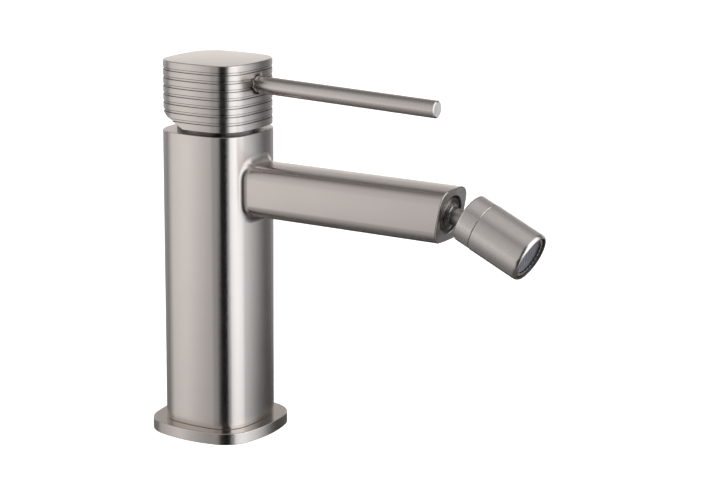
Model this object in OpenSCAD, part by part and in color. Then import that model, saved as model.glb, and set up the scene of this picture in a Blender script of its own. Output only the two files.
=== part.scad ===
/* [Base plate] */
// Width of the base plate across its bowed sides
plate_width = 51.3; // [48:0.1:60]
// Thickness of the base plate
plate_thickness = 4.9; // [4:0.1:8]
// Corner radius of the base plate
plate_corner = 14; // [10:0.5:18]
// Radius of the bow of the plate's sides
plate_bow = 56; // [50:1:200]
// Chamfer along the plate's upper edge
plate_edge = 0.35; // [0.1:0.05:0.8]
// Mean radius of the gasket under the plate
gasket_radius = 20.5; // [19:0.1:21.5]
// Width of the gasket's section
gasket_width = 3; // [2:0.1:4]
// Depth of the gasket's groove
gasket_depth = 2; // [1.5:0.1:2.5]

/* [Body] */
// Width of the body across its bowed sides
body_width = 40; // [38:0.1:46]
// Height of the top of the body above the deck
body_height = 128.5; // [126:0.5:150]
// Corner radius of the body
body_corner = 11.3; // [8:0.1:14]
// Radius of the bow of the body's sides
body_bow = 79; // [60:1:200]
// Chamfer along the body's upper edge
body_edge = 0.3; // [0.1:0.05:0.6]
// Radius of the spigot that centres the body in the plate
spigot_radius = 14.9; // [14.6:0.1:16.5]
// Height of the spigot's face above the deck
spigot_recess = 1; // [0.5:0.1:2]

/* [Inlets] */
// Distance between the two inlet threads
inlet_spacing = 15; // [14:0.1:16]
// Distance of the inlet threads in front of the body's axis
inlet_front = 3; // [2.6:0.1:3.6]
// Wall radius of an inlet thread, M10x1
inlet_radius = 4.5; // [4:0.1:4.6]
// Depth of an inlet thread
inlet_depth = 15; // [10:1:25]
// Distance of the fixing thread behind the body's axis
fixing_back = 9; // [8.5:0.1:9.5]
// Wall radius of the fixing thread, M8
fixing_radius = 3.4; // [2.5:0.1:3.6]
// Depth of the fixing thread
fixing_depth = 18; // [12:1:30]

/* [Spout] */
// Width and height of the spout's section
spout_size = 21.5; // [20.5:0.1:23]
// Corner radius of the spout's section
spout_corner = 5.7; // [4:0.1:7]
// Radius of the bow of the spout's sides
spout_bow = 140; // [60:1:300]
// Depth of the spout's axis below the top of the body
spout_drop = 23.1; // [22.6:0.1:23.4]
// Distance from the body's axis to the centre of the spout's end
spout_reach = 110.2; // [90:0.2:140]
// Angle by which the spout's end face looks down
end_slant = 10.4; // [0:0.1:14]
// Radius of the fillet between the spout and the body
root_fillet = 3.4; // [2:0.1:4]
// Radius of the recess in the spout's end
recess_radius = 7.9; // [7.6:0.1:8.4]
// Depth of the recess in the spout's end
recess_depth = 3.6; // [3.2:0.1:5]
// Radius of the spout's waterway
waterway_radius = 4.6; // [4.6:0.1:5]
// Radius of the drilling from the cartridge to the spout's waterway
cross_radius = 2.8; // [2.2:0.1:3]

/* [Cartridge] */
// Radius of the cartridge's housing
cartridge_radius = 12.5; // [12.5:0.1:13]
// Distance from the cartridge's seat up to the pivot of the stem
pivot_rise = 22; // [21.8:0.1:22.2]
// Height of the pivot of the stem above the top of the body
pivot_above_body = 1.5; // [1:0.1:2]
// Thickness of the cartridge's bottom plate
bottom_plate = 3.5; // [3:0.1:4]
// Thickness of each ceramic disc
disc_thickness = 3; // [2.5:0.1:3.4]
// Radius of the moving disc
moving_disc_radius = 8.6; // [8.4:0.1:8.8]
// Distance of the body's inlet ports from the middle plane
body_port_x = 6.2; // [6:0.1:6.4]
// Distance of the fixed disc's inlet ports from the middle plane
disc_port_x = 4.9; // [4.6:0.1:5.2]
// Distance of the inlet ports in front of the axis
inlet_port_front = 2.6; // [2.4:0.1:3]
// Radius of the inlet ports in the body
inlet_port_radius = 2.2; // [1.8:0.1:2.4]
// Radius of the inlet ports in the discs
disc_port_radius = 1.9; // [1.6:0.1:2.1]
// Distance of the outlet port behind the axis
outlet_port_back = 5.4; // [5:0.1:5.8]
// Radius of the outlet port
outlet_port_radius = 2.4; // [2:0.1:2.6]
// Side of the square lever stem
stem_side = 7; // [6:0.1:7.4]
// Radius of the pin on which the stem tips
pin_radius = 1.5; // [1:0.1:1.8]
// Distance from the pivot down to the centre of the stem's ball
ball_arm = 8; // [7.8:0.1:8.2]
// Radius of the ball on the stem
stem_ball_radius = 2.4; // [2:0.1:2.6]
// Radius of the clamping thread in the body, M28x1
clamp_thread_radius = 14; // [13.9:0.1:14.6]

/* [Neck and head] */
// Radius of the neck between the body and the head
neck_radius = 17; // [16:0.1:17.2]
// Height of the neck above the body
neck_height = 3.1; // [2.9:0.1:3.3]
// Gap between the body and the head
head_gap = 1.7; // [1.5:0.05:2]
// Width of the head across its bowed sides
head_width = 39.5; // [39:0.1:42]
// Height of the head
head_height = 27.3; // [26.5:0.1:32]
// Number of bands round the head
band_count = 8; // [6:1:9]
// Width of a groove between two bands
groove_width = 0.8; // [0.4:0.05:1.2]
// Depth of a groove
groove_depth = 0.5; // [0.3:0.05:0.8]
// Chamfer along the edges of a band
band_edge = 0.3; // [0.1:0.05:0.5]
// Chamfer along the upper edge of the head
head_edge = 0.45; // [0.1:0.05:0.8]
// Radius of the hollow in the head
hollow_radius = 17.8; // [17.6:0.05:18]
// Height of the hollow in the head
hollow_height = 10.8; // [10:0.1:11.5]
// Distance behind the axis at which the slanted cut starts
cut_start = 3.5; // [3:0.1:3.8]
// Angle of the slanted cut at the lower back of the head
cut_angle = 26.5; // [24:0.5:30]
// Largest angle by which the lever lifts
lift_angle = 22; // [15:1:22]

/* [Lever rod] */
// Radius of the lever rod
rod_radius = 3.5; // [3:0.05:4]
// Distance from the body's axis to the tip of the rod
rod_reach = 103.5; // [80:0.5:140]
// Depth of the rod's axis below the top of the head
rod_depth = 8.5; // [8:0.1:9]
// Angle by which the rod slopes down
rod_slope = 1.5; // [0:0.1:3]
// Radius of the rod's thread, M6
rod_thread_radius = 2.95; // [2.4:0.05:3]
// Radius of the countersink round the rod
rod_sink_radius = 4.4; // [4.2:0.1:5]

/* [Ball stud] */
// Distance from the spout's end face to the centre of the ball
ball_reach = 13.6; // [13.4:0.1:16]
// Radius of the ball
ball_radius = 7; // [6.8:0.05:7.2]
// Radius of the neck behind the ball
stud_neck_radius = 3.6; // [3:0.1:3.8]
// Radius of the stud's flange
stud_flange_radius = 6.9; // [6.6:0.1:7]
// Radius of the stud's thread
stud_thread_radius = 5.5; // [5.4:0.1:5.8]
// Length of the stud's thread
stud_thread_length = 8; // [6:0.5:12]
// Radius of the stud's waterway
stud_bore_radius = 2.2; // [1.5:0.1:2.4]

/* [Nozzle] */
// Radius of the front tube of the nozzle
sleeve_radius = 10.2; // [10:0.05:11]
// Radius of the rear ring of the nozzle
collar_radius = 10.05; // [9.95:0.05:10.2]
// Angle of the nozzle below the horizontal
nozzle_tilt = 25; // [10:0.5:30]
// Distance from the ball's centre back to the rear of the nozzle
collar_back = 6.2; // [6:0.1:6.4]
// Distance from the ball's centre to the seam of the nozzle
seam_front = 1.4; // [1.2:0.1:2]
// Distance from the ball's centre to the mouth of the nozzle
mouth_front = 24.3; // [22:0.1:32]
// Thickness of the liner round the ball
liner_thickness = 0.72; // [0.7:0.01:0.74]
// Radius of the opening behind the ball
throat_radius = 7.4; // [7.2:0.05:7.5]
// Radius of the waterway in front of the ball
sleeve_bore_radius = 5.5; // [5:0.1:5.7]
// Radius of the mouth of the nozzle
mouth_radius = 8.7; // [8.4:0.05:9]
// Depth of the mouth's recess for the aerator
mouth_depth = 11.5; // [11:0.1:13]
// Depth of the aerator behind the mouth's edge
aerator_inset = 1; // [0.5:0.1:2]

/* [Hidden] */
$fn = 96;

nickel = "#b9afa8";
dark_nickel = "#5b5650";
brass = "#c9a55c";
rubber = "#2b2b2b";
ceramic = "#e9e6df";
acetal = "#dcdcd6";
steel = "#9aa0a8";

// Running clearance of a shaft or ball in its seat
running = 0.05;
// Clearance between pieces that only locate each other
loose = 0.1;
// Gap between two threads, which are plain cylinders here
thread_gap = 0.02;
// Gap that a moving piece keeps from a wall
travel_gap = 0.3;
// Overshoot of a cutting solid past the face that it opens
past = 1;
// Free depth behind a thread
thread_run_out = 2;
// Steps of the bowed side and of the round corner of an outline
side_steps = 6;
corner_steps = 10;
// Steps of the head's lighter outline
head_side_steps = 4;
head_corner_steps = 7;

seat_z = body_height + pivot_above_body - pivot_rise;
pivot_z = seat_z + pivot_rise;
disc_seat_z = seat_z + bottom_plate;
moving_z = disc_seat_z + disc_thickness;
carrier_z = moving_z + disc_thickness;
lift_slide = ball_arm * sin(lift_angle);
disc_offset = lift_slide / 2;

housing_wall = 1.5;
housing_shoulder = 2.1;
housing_neck_wall = 1.9;
shoulder_drop = 3.5;
housing_rise = 4.5;
rotor_drop = 9;
rotor_flange = 3.9;
rotor_rise = 0.4;
bore_gap = 0.2;
housing_inner = cartridge_radius - housing_wall;
housing_neck_radius = cartridge_radius - housing_shoulder;
housing_neck_inner = housing_neck_radius - housing_neck_wall;
shoulder_z = pivot_z - shoulder_drop;
housing_top_z = pivot_z + housing_rise;
rotor_flange_z = pivot_z - rotor_drop;
rotor_flange_top = rotor_flange_z + rotor_flange;
rotor_top_z = housing_top_z + rotor_rise;
bore_radius = cartridge_radius + bore_gap;

carrier_wall = 0.4;
carrier_disc_height = 3;
carrier_rim = 0.5;
carrier_radius = moving_disc_radius + carrier_wall;
boss_half = 4.6;
boss_front = 4;
boss_drop = 1.1;
boss_gap = 0.15;
boss_top_z = rotor_flange_top - boss_drop;
slot_half = stem_ball_radius + loose;
slot_floor_gap = 0.4;
slot_floor_z = pivot_z - ball_arm - stem_ball_radius - slot_floor_gap;

stem_square_drop = 4.7;
stem_over_rod = 3.9;
stem_end_gap = 0.1;
stem_square_z = pivot_z - stem_square_drop;
head_z = body_height + head_gap;
head_top_z = head_z + head_height;
band_pitch = head_height / band_count;
ceiling_z = head_z + hollow_height;
rod_axis_z = head_top_z - rod_depth;
stem_top_z = rod_axis_z + stem_over_rod;
rod_start = 16.5;
rod_sink_depth = 1.4;
rod_tip_edge = 0.5;

nut_length_below = 4;
nut_thread_room = 5;
nut_step = 1;
nut_roof_gap = 0.6;
nut_slot_width = 2.5;
nut_slot_floor = 0.6;
nut_bottom_z = shoulder_z - nut_length_below;
nut_top_z = body_height + neck_height - nut_roof_gap;
nut_head_radius = clamp_thread_radius - nut_step;
ring_lip = 0.9;
ring_round = 1.2;
ring_opening = nut_head_radius - ring_lip;

spout_axis_height = body_height - spout_drop;
bore_wall = 3;
drill_overlap = 2;
drill_step = 0.3;
waterway_start = bore_radius + bore_wall;
waterway_end = spout_reach - recess_depth - stud_thread_length;
cross_z = spout_axis_height - waterway_radius + cross_radius + drill_step;
seal_height = 1;
seal_wall = 1.4;
port_step = 1.2;
inlet_seal_outer = inlet_port_radius + seal_wall;
outlet_seal_outer = outlet_port_radius + seal_wall;
disc_pocket_wall = 2;
pocket_start = 0.4;
slot_lap = 0.8;
pin_inset = 0.5;
ball_neck_step = 0.5;
groove_lip = 0.1;

flange_thickness = 2.2;
flange_step = 1.4;
flange_step_height = 0.6;
neck_flare = 1.3;
neck_flare_length = 2;
stud_mouth = 2.5;
flange_back = -recess_depth + seal_height;
flange_front = flange_back + flange_thickness;
neck_start = flange_front + flange_step_height;

ball_y = -spout_reach - ball_reach * cos(end_slant);
ball_z = spout_axis_height - ball_reach * sin(end_slant);
liner_back = 4;
liner_front = 3.4;
seal_back = 3.9;
seal_front = 3.6;
liner_inner = ball_radius + running;
liner_outer = liner_inner + liner_thickness;
seal_inner = liner_outer + running;
seal_outer = seal_inner + liner_thickness;
socket_radius = seal_outer + running;

nozzle_thread_wall = 0.75;
nozzle_thread_back = 1.4;
collar_edge = 1;
sleeve_edge = 1.1;
seam_edge = 0.25;
nozzle_thread_radius = socket_radius + nozzle_thread_wall;
aerator_front = mouth_front - aerator_inset;
mouth_floor = mouth_front - mouth_depth;

aerator_gap = 0.35;
aerator_wall = 1.2;
aerator_seal_height = 1.5;
aerator_floor = 1;
aerator_thread_end = 2.5;
aerator_lap = 0.5;
insert_thickness = 2.5;
insert_pitch = 1.9;
insert_hole = 0.55;
insert_rings = 2;
mesh_depth = 0.8;
mesh_thickness = 0.8;
mesh_pitch = 1.5;
mesh_hole = 0.5;
mesh_rings = 4;
aerator_outer = mouth_radius - aerator_gap;
aerator_inner = aerator_outer - aerator_wall;
insert_z = mouth_floor + aerator_seal_height + aerator_floor;
mesh_z = aerator_front - mesh_depth;

// Distance from the axis to the centre of a corner arc, where a bowed square of half width h has
// corner radius r and side radius s.
function corner_centre(h, r, s) =
    let (k = h - s, q = (s - r) * (s - r))
    (k + sqrt(2 * q - k * k)) / 2;

// One quarter of the bowed square's outline: the side that faces +X, then the corner after it.
// Each row holds X, Y and the direction in which the outline faces there.
function bowed_quarter(h, r, s, sides, corners) =
    let (c = corner_centre(h, r, s), k = h - s, a = atan2(c, c - k))
    concat(
        [for (i = [0:sides - 1]) let (b = -a + 2 * a * i / sides) [k + s * cos(b), s * sin(b), b]],
        [for (i = [0:corners - 1])
            let (b = a + (90 - 2 * a) * i / corners) [c + r * cos(b), c + r * sin(b), b]]
    );

function turned(p, a) = [p[0] * cos(a) - p[1] * sin(a), p[0] * sin(a) + p[1] * cos(a), p[2] + a];

// Outline of a square with bowed sides and round corners, with the direction it faces at each point.
function bowed_rows(width, corner, bow, sides = side_steps, corners = corner_steps) =
    [for (a = [0:90:270])
        each [for (p = bowed_quarter(width / 2, corner, bow, sides, corners)) turned(p, a)]];

function bowed_square(width, corner, bow, sides = side_steps, corners = corner_steps) =
    [for (p = bowed_rows(width, corner, bow, sides, corners)) [p[0], p[1]]];

// Arc of the body's outline, moved outwards by gap, that a line at distance x from the middle plane
// meets on the spout's side: [X and Y of the arc's centre, its radius].
function body_arc(x, gap) =
    let (h = body_width / 2, c = corner_centre(h, body_corner, body_bow), k = h - body_bow,
        limit = (body_bow + gap) * sin(atan2(c, c - k)))
    abs(x) <= limit ? [0, -k, body_bow + gap] : [sign(x) * c, -c, body_corner + gap];

function unit(v) = v / norm(v);

// Direction a share t of the way round from direction a to direction b.
function between(a, b, t) =
    let (w = acos(a * b))
    (sin((1 - t) * w) * a + sin(t * w) * b) / sin(w);

function arc(cx, cy, r, from, to, steps = 6) =
    [for (i = [0:steps]) let (a = from + (to - from) * i / steps) [cx + r * cos(a), cy + r * sin(a)]];

module bar(width, corner, bow, from_z, to_z) {
    translate([0, 0, from_z])
        linear_extrude(height = to_z - from_z)
            polygon(bowed_square(width, corner, bow));
}

// Solid through one bowed outline at each level, where a level is [height, width there].
module stack(levels, width, corner, bow, sides = side_steps, corners = corner_steps) {
    outline = bowed_square(width, corner, bow, sides, corners);
    n = len(outline);
    top = len(levels) - 1;
    polyhedron(
        points = [for (level = levels, p = outline)
            [p[0] * level[1] / width, p[1] * level[1] / width, level[0]]],
        faces = concat(
            [[for (i = [0:n - 1]) i]],
            [[for (i = [n - 1:-1:0]) top * n + i]],
            [for (j = [0:top - 1], i = [0:n - 1])
                let (next = (i + 1) % n)
                [j * n + i, (j + 1) * n + i, (j + 1) * n + next, j * n + next]]
        )
    );
}

module rod(r, from_z, to_z, x = 0, y = 0) {
    translate([x, y, from_z])
        cylinder(r = r, h = to_z - from_z);
}

module ring(inner, outer, from_z, to_z, x = 0, y = 0) {
    difference() {
        rod(outer, from_z, to_z, x, y);
        rod(inner, from_z - past, to_z + past, x, y);
    }
}

// Box with its low and high faces given, spread evenly to both sides in X.
module block(half_x, y0, y1, z0, z1) {
    translate([-half_x, y0, z0])
        cube([2 * half_x, y1 - y0, z1 - z0]);
}

// Frame whose +Z runs out of the spout's end face, from the centre of that face.
module along_stud() {
    translate([0, -spout_reach, spout_axis_height])
        rotate([90 + end_slant, 0, 0])
            children();
}

// Frame at the centre of the ball, with +Z along the stud.
module at_ball() {
    translate([0, ball_y, ball_z])
        rotate([90 + end_slant, 0, 0])
            children();
}

// Frame at the centre of the ball, with +Z towards the mouth of the nozzle.
module along_nozzle() {
    translate([0, ball_y, ball_z])
        rotate([90 + nozzle_tilt, 0, 0])
            children();
}

// Frame on the body's axis, with +Z along the lever rod towards its tip.
module along_rod() {
    translate([0, 0, rod_axis_z])
        rotate([90 + rod_slope, 0, 0])
            children();
}

// Zone of a spherical shell between two planes square to Z.
module shell_zone(inner, outer, from_z, to_z) {
    difference() {
        intersection() {
            sphere(r = outer);
            rod(outer + past, from_z, to_z);
        }
        sphere(r = inner);
    }
}

module spout_blank() {
    difference() {
        rotate([90, 0, 0])
            linear_extrude(height = spout_reach + spout_size / 2)
                polygon(bowed_square(spout_size, spout_corner, spout_bow));
        translate([0, -spout_reach, 0])
            rotate([end_slant, 0, 0])
                translate([-spout_size, -2 * spout_size, -2 * spout_size])
                    cube([2 * spout_size, 2 * spout_size, 4 * spout_size]);
    }
}

// Fillet between the spout and the body: a ball of the fillet's radius rolls round the spout while it
// touches both outlines. It reaches a little under both skins, so that it joins them cleanly.
module spout_root() {
    sink = 0.06;
    steps = 5;
    core_share = 0.6;
    core_y = -body_width / 2 + root_fillet;
    gap = root_fillet - sink;
    rows = bowed_rows(spout_size, spout_corner, spout_bow);
    n = len(rows);
    m = steps + 2;
    sections = [for (p = rows)
        let (
            out = [cos(p[2]), sin(p[2])],
            x = p[0] + gap * out[0],
            z = p[1] + gap * out[1],
            side = body_arc(x, gap),
            y = side[1] - sqrt(pow(side[2], 2) - pow(x - side[0], 2)),
            to_spout = [-out[0], 0, -out[1]],
            to_body = unit([side[0] - x, side[1] - y, 0])
        )
        each concat(
            [for (i = [0:steps]) [x, y, z] + root_fillet * between(to_spout, to_body, i / steps)],
            [[p[0] * core_share, core_y, p[1] * core_share]]
        )];
    polyhedron(
        points = sections,
        faces = [for (i = [0:n - 1], j = [0:m - 1], half = [0, 1])
            let (a = i * m, b = (i + 1) % n * m, k = (j + 1) % m)
            half == 0 ? [a + j, b + k, a + k] : [a + j, b + j, b + k]]
    );
}

module mixer_body() {
    color(nickel)
        difference() {
            union() {
                stack([[plate_thickness, body_width], [body_height - body_edge, body_width],
                    [body_height, body_width - 2 * body_edge]], body_width, body_corner, body_bow);
                rod(spigot_radius, spigot_recess, plate_thickness + past);
                translate([0, 0, spout_axis_height]) {
                    spout_blank();
                    spout_root();
                }
            }
            rod(bore_radius, seat_z, body_height + past);
            rod(clamp_thread_radius, shoulder_z - nut_thread_room, body_height + past);
            for (side = [-1, 1]) {
                rod(inlet_radius, spigot_recess - past, spigot_recess + inlet_depth,
                    side * inlet_spacing / 2, -inlet_front);
                rod(inlet_port_radius, spigot_recess + inlet_depth - past, seat_z + past,
                    side * body_port_x, -inlet_port_front);
            }
            rod(fixing_radius, spigot_recess - past, spigot_recess + fixing_depth, 0, fixing_back);
            rod(outlet_port_radius, cross_z, seat_z + past, 0, outlet_port_back);
            translate([0, outlet_port_back, cross_z])
                rotate([90, 0, 0])
                    cylinder(r = cross_radius, h = outlet_port_back + waterway_start + drill_overlap);
            translate([0, -waterway_start, spout_axis_height])
                rotate([90, 0, 0])
                    cylinder(r = waterway_radius, h = waterway_end - waterway_start);
            along_stud() {
                rod(recess_radius, -recess_depth, past);
                rod(stud_thread_radius, -recess_depth - stud_thread_length - thread_run_out, past);
            }
        }
}

module base_flange() {
    color(nickel)
        difference() {
            stack([[0, plate_width], [plate_thickness - plate_edge, plate_width],
                [plate_thickness, plate_width - 2 * plate_edge]], plate_width, plate_corner, plate_bow);
            rod(spigot_radius + loose, -past, plate_thickness + past);
            ring(gasket_radius - gasket_width / 2, gasket_radius + gasket_width / 2, -past, gasket_depth);
        }
}

module base_gasket() {
    color(rubber)
        ring(gasket_radius - gasket_width / 2, gasket_radius + gasket_width / 2, 0, gasket_depth);
}

module cover_ring() {
    color(dark_nickel)
        difference() {
            translate([0, 0, body_height])
                rotate_extrude()
                    polygon(concat(
                        [[ring_opening, 0], [neck_radius, 0]],
                        arc(neck_radius - ring_round, neck_height - ring_round, ring_round, 0, 90),
                        [[ring_opening, neck_height]]
                    ));
            rod(nut_head_radius + loose, body_height - past, nut_top_z);
        }
}

module cartridge_nut() {
    color(brass)
        difference() {
            union() {
                rod(clamp_thread_radius - thread_gap, nut_bottom_z, body_height);
                rod(nut_head_radius, body_height - past, nut_top_z);
            }
            rod(cartridge_radius + loose, nut_bottom_z - past, shoulder_z);
            rod(housing_neck_radius + loose, shoulder_z - past, nut_top_z + past);
            for (a = [0, 90])
                rotate(a)
                    translate([-clamp_thread_radius, -nut_slot_width / 2, body_height + nut_slot_floor])
                        cube([2 * clamp_thread_radius, nut_slot_width, neck_height]);
        }
}

module cartridge_housing() {
    color(acetal)
        difference() {
            union() {
                rod(cartridge_radius, disc_seat_z, shoulder_z);
                rod(housing_neck_radius, shoulder_z - past, housing_top_z);
            }
            rod(housing_inner, disc_seat_z - past, rotor_flange_top + running);
            rod(housing_neck_inner, disc_seat_z, housing_top_z + past);
        }
}

module cartridge_base() {
    color(acetal)
        difference() {
            rod(cartridge_radius, seat_z, disc_seat_z);
            for (side = [-1, 1]) {
                rod(inlet_port_radius, seat_z - past, disc_seat_z - port_step,
                    side * body_port_x, -inlet_port_front);
                rod(disc_port_radius, seat_z + port_step, disc_seat_z + past,
                    side * disc_port_x, -inlet_port_front);
                rod(inlet_seal_outer, seat_z - past, seat_z + seal_height,
                    side * body_port_x, -inlet_port_front);
            }
            rod(outlet_port_radius, seat_z - past, disc_seat_z + past, 0, outlet_port_back);
            rod(outlet_seal_outer, seat_z - past, seat_z + seal_height, 0, outlet_port_back);
        }
}

module inlet_seals() {
    color(rubber)
        for (side = [-1, 1])
            ring(inlet_port_radius, inlet_seal_outer, seat_z, seat_z + seal_height,
                side * body_port_x, -inlet_port_front);
}

module outlet_seal() {
    color(rubber)
        ring(outlet_port_radius, outlet_seal_outer, seat_z, seat_z + seal_height, 0, outlet_port_back);
}

module fixed_disc() {
    color(ceramic)
        difference() {
            rod(housing_inner - loose, disc_seat_z, moving_z);
            for (side = [-1, 1])
                rod(disc_port_radius, disc_seat_z - past, moving_z + past, side * disc_port_x,
                    -inlet_port_front);
            rod(outlet_port_radius, disc_seat_z - past, moving_z + past, 0, outlet_port_back);
        }
}

// The pocket in the underside joins the open inlets to the outlet.
module moving_disc() {
    pocket_depth = disc_thickness / 2;
    color(ceramic)
        difference() {
            rod(moving_disc_radius, moving_z, carrier_z, 0, disc_offset);
            intersection() {
                rod(moving_disc_radius - disc_pocket_wall, moving_z - past, moving_z + pocket_depth,
                    0, disc_offset);
                block(moving_disc_radius, pocket_start, 2 * moving_disc_radius, moving_z - past,
                    carrier_z);
            }
        }
}

module disc_carrier() {
    color(acetal)
        difference() {
            union() {
                rod(carrier_radius, carrier_z - carrier_rim, carrier_z + carrier_disc_height, 0, disc_offset);
                block(boss_half, -boss_front, boss_front, carrier_z + past, boss_top_z);
            }
            rod(moving_disc_radius + running, carrier_z - past, carrier_z, 0, disc_offset);
            block(boss_half + past, -slot_half, slot_half, slot_floor_z, boss_top_z + past);
        }
}

module rotor() {
    slot_x = stem_side / 2 + loose;
    half = stem_side / 2;
    slot_back = (rotor_top_z - pivot_z) * tan(lift_angle) + half / cos(lift_angle) + travel_gap;
    slot_front = stem_square_drop * sin(lift_angle) + half * cos(lift_angle) + travel_gap;
    color(acetal)
        difference() {
            union() {
                rod(housing_inner - running, rotor_flange_z, rotor_flange_top);
                rod(housing_neck_inner - running, rotor_flange_top - past, rotor_top_z);
            }
            block(boss_half + running, -boss_front - lift_slide - boss_gap, boss_front + boss_gap,
                rotor_flange_z - past, boss_top_z + travel_gap);
            block(slot_x, -slot_front, half + travel_gap, rotor_flange_z - past, pivot_z + slot_lap);
            block(slot_x, -half - travel_gap, slot_back, pivot_z - slot_lap, rotor_top_z + past);
            translate([-housing_neck_inner, 0, pivot_z])
                rotate([0, 90, 0])
                    cylinder(r = pin_radius, h = 2 * housing_neck_inner);
        }
}

module stem_pin() {
    half = housing_neck_inner - pin_inset;
    color(steel)
        translate([-half, 0, pivot_z])
            rotate([0, 90, 0])
                cylinder(r = pin_radius, h = 2 * half);
}

module lever_stem() {
    color(steel)
        difference() {
            union() {
                block(stem_side / 2, -stem_side / 2, stem_side / 2, stem_square_z, stem_top_z);
                rod(stem_ball_radius - ball_neck_step, pivot_z - ball_arm, stem_square_z + past);
                translate([0, 0, pivot_z - ball_arm]) sphere(r = stem_ball_radius);
            }
            translate([-stem_side, 0, pivot_z])
                rotate([0, 90, 0])
                    cylinder(r = pin_radius + running, h = 2 * stem_side);
        }
}

// Levels of one band of the head, with its chamfered edges.
function band_levels(low, high, top_edge) =
    [[low, head_width - 2 * band_edge], [low + band_edge, head_width], [high - top_edge, head_width],
        [high, head_width - 2 * top_edge]];

// Levels of the flat floor of a groove that starts at a given height.
function groove_levels(low) =
    [for (z = [groove_lip, groove_width - groove_lip]) [low + z, head_width - 2 * groove_depth]];

// Levels of the head from bottom to top, with a groove between each two bands.
function head_levels() =
    [for (i = [0:band_count - 1])
        let (
            last = i == band_count - 1,
            low = head_z + i * band_pitch + (i == 0 ? 0 : groove_width / 2),
            high = head_z + (i + 1) * band_pitch - (last ? 0 : groove_width / 2)
        )
        each concat(
            band_levels(low, high, last ? head_edge : band_edge),
            last ? [] : groove_levels(high)
        )];

module handle_block() {
    socket_half = stem_side / 2 + thread_gap;
    color(nickel)
        difference() {
            stack(head_levels(), head_width, body_corner, body_bow, head_side_steps, head_corner_steps);
            rod(hollow_radius, head_z - past, ceiling_z);
            block(socket_half, -socket_half, socket_half, head_z, stem_top_z + stem_end_gap);
            translate([0, cut_start, head_z])
                rotate([cut_angle, 0, 0])
                    block(head_width, 0, 2 * head_width, -head_height, 0);
            along_rod() {
                rod(rod_thread_radius + thread_gap, 0, rod_start + past);
                rod(rod_radius + thread_gap, rod_start, head_width);
                translate([0, 0, head_width / 2 - rod_sink_depth])
                    cylinder(r1 = rod_radius, r2 = rod_sink_radius, h = rod_sink_depth);
                rod(rod_sink_radius, head_width / 2, head_width);
            }
        }
}

module lever_rod() {
    color(nickel)
        along_rod()
            rotate_extrude()
                polygon([
                    [0, stem_side / 2 + thread_gap], [rod_thread_radius, stem_side / 2 + loose],
                    [rod_thread_radius, rod_start], [rod_radius, rod_start],
                    [rod_radius, rod_reach - rod_tip_edge], [rod_radius - rod_tip_edge, rod_reach],
                    [0, rod_reach]
                ]);
}

// Thread, flange, flared neck and ball, bored through.
module ball_stud() {
    neck_end = ball_reach - sqrt(pow(ball_radius, 2) - pow(stud_neck_radius, 2));
    color(dark_nickel)
        along_stud()
            difference() {
                union() {
                    rod(stud_thread_radius - thread_gap, flange_back - stud_thread_length, flange_back);
                    rod(stud_flange_radius, flange_back, flange_front);
                    rod(stud_flange_radius - flange_step, flange_front - past, neck_start);
                    translate([0, 0, neck_start])
                        cylinder(r1 = stud_neck_radius + neck_flare, r2 = stud_neck_radius,
                            h = neck_flare_length);
                    rod(stud_neck_radius, flange_front, neck_end + past);
                    translate([0, 0, ball_reach]) sphere(r = ball_radius);
                }
                rod(stud_bore_radius, -recess_depth - stud_thread_length - past, ball_reach + ball_radius);
                translate([0, 0, ball_reach + ball_radius - stud_mouth])
                    cylinder(r1 = stud_bore_radius, r2 = stud_bore_radius + stud_mouth, h = stud_mouth);
            }
}

module stud_seal() {
    color(rubber)
        along_stud()
            ring(stud_thread_radius, stud_flange_radius, -recess_depth, -recess_depth + seal_height);
}

module ball_liner() {
    color(acetal)
        at_ball() shell_zone(liner_inner, liner_outer, -liner_back, liner_front);
}

module ball_seal() {
    color(rubber)
        along_nozzle() shell_zone(seal_inner, seal_outer, -seal_back, seal_front);
}

module nozzle_collar() {
    color(nickel)
        along_nozzle()
            difference() {
                rotate_extrude()
                    polygon(concat(
                        [[0, -collar_back]],
                        arc(collar_radius - collar_edge, collar_edge - collar_back, collar_edge, -90, 0),
                        [[collar_radius, seam_front - seam_edge], [collar_radius - seam_edge, seam_front],
                            [0, seam_front]]
                    ));
                sphere(r = socket_radius);
                rod(throat_radius, -collar_back - past, 0);
                rod(nozzle_thread_radius, -nozzle_thread_back, seam_front + past);
            }
}

module nozzle_sleeve() {
    thread_r = nozzle_thread_radius - thread_gap;
    color(nickel)
        along_nozzle()
            difference() {
                rotate_extrude()
                    polygon(concat(
                        [[0, -nozzle_thread_back], [thread_r, -nozzle_thread_back],
                            [thread_r, seam_front], [sleeve_radius - seam_edge, seam_front],
                            [sleeve_radius, seam_front + seam_edge]],
                        arc(sleeve_radius - sleeve_edge, mouth_front - sleeve_edge, sleeve_edge, 0, 90),
                        [[0, mouth_front]]
                    ));
                sphere(r = socket_radius);
                rod(sleeve_bore_radius, 0, mouth_front);
                rod(mouth_radius, mouth_floor, mouth_front + past);
            }
}

module aerator_seal() {
    color(rubber)
        along_nozzle()
            ring(sleeve_bore_radius, aerator_outer, mouth_floor, mouth_floor + aerator_seal_height);
}

module aerator_housing() {
    thread_front = aerator_front - aerator_thread_end;
    color(steel)
        along_nozzle()
            difference() {
                union() {
                    rod(mouth_radius - thread_gap, mouth_floor + aerator_seal_height, thread_front);
                    rod(aerator_outer, thread_front - aerator_lap, aerator_front);
                }
                rod(aerator_inner, insert_z, aerator_front + past);
                rod(sleeve_bore_radius, mouth_floor, aerator_front);
            }
}

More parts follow.
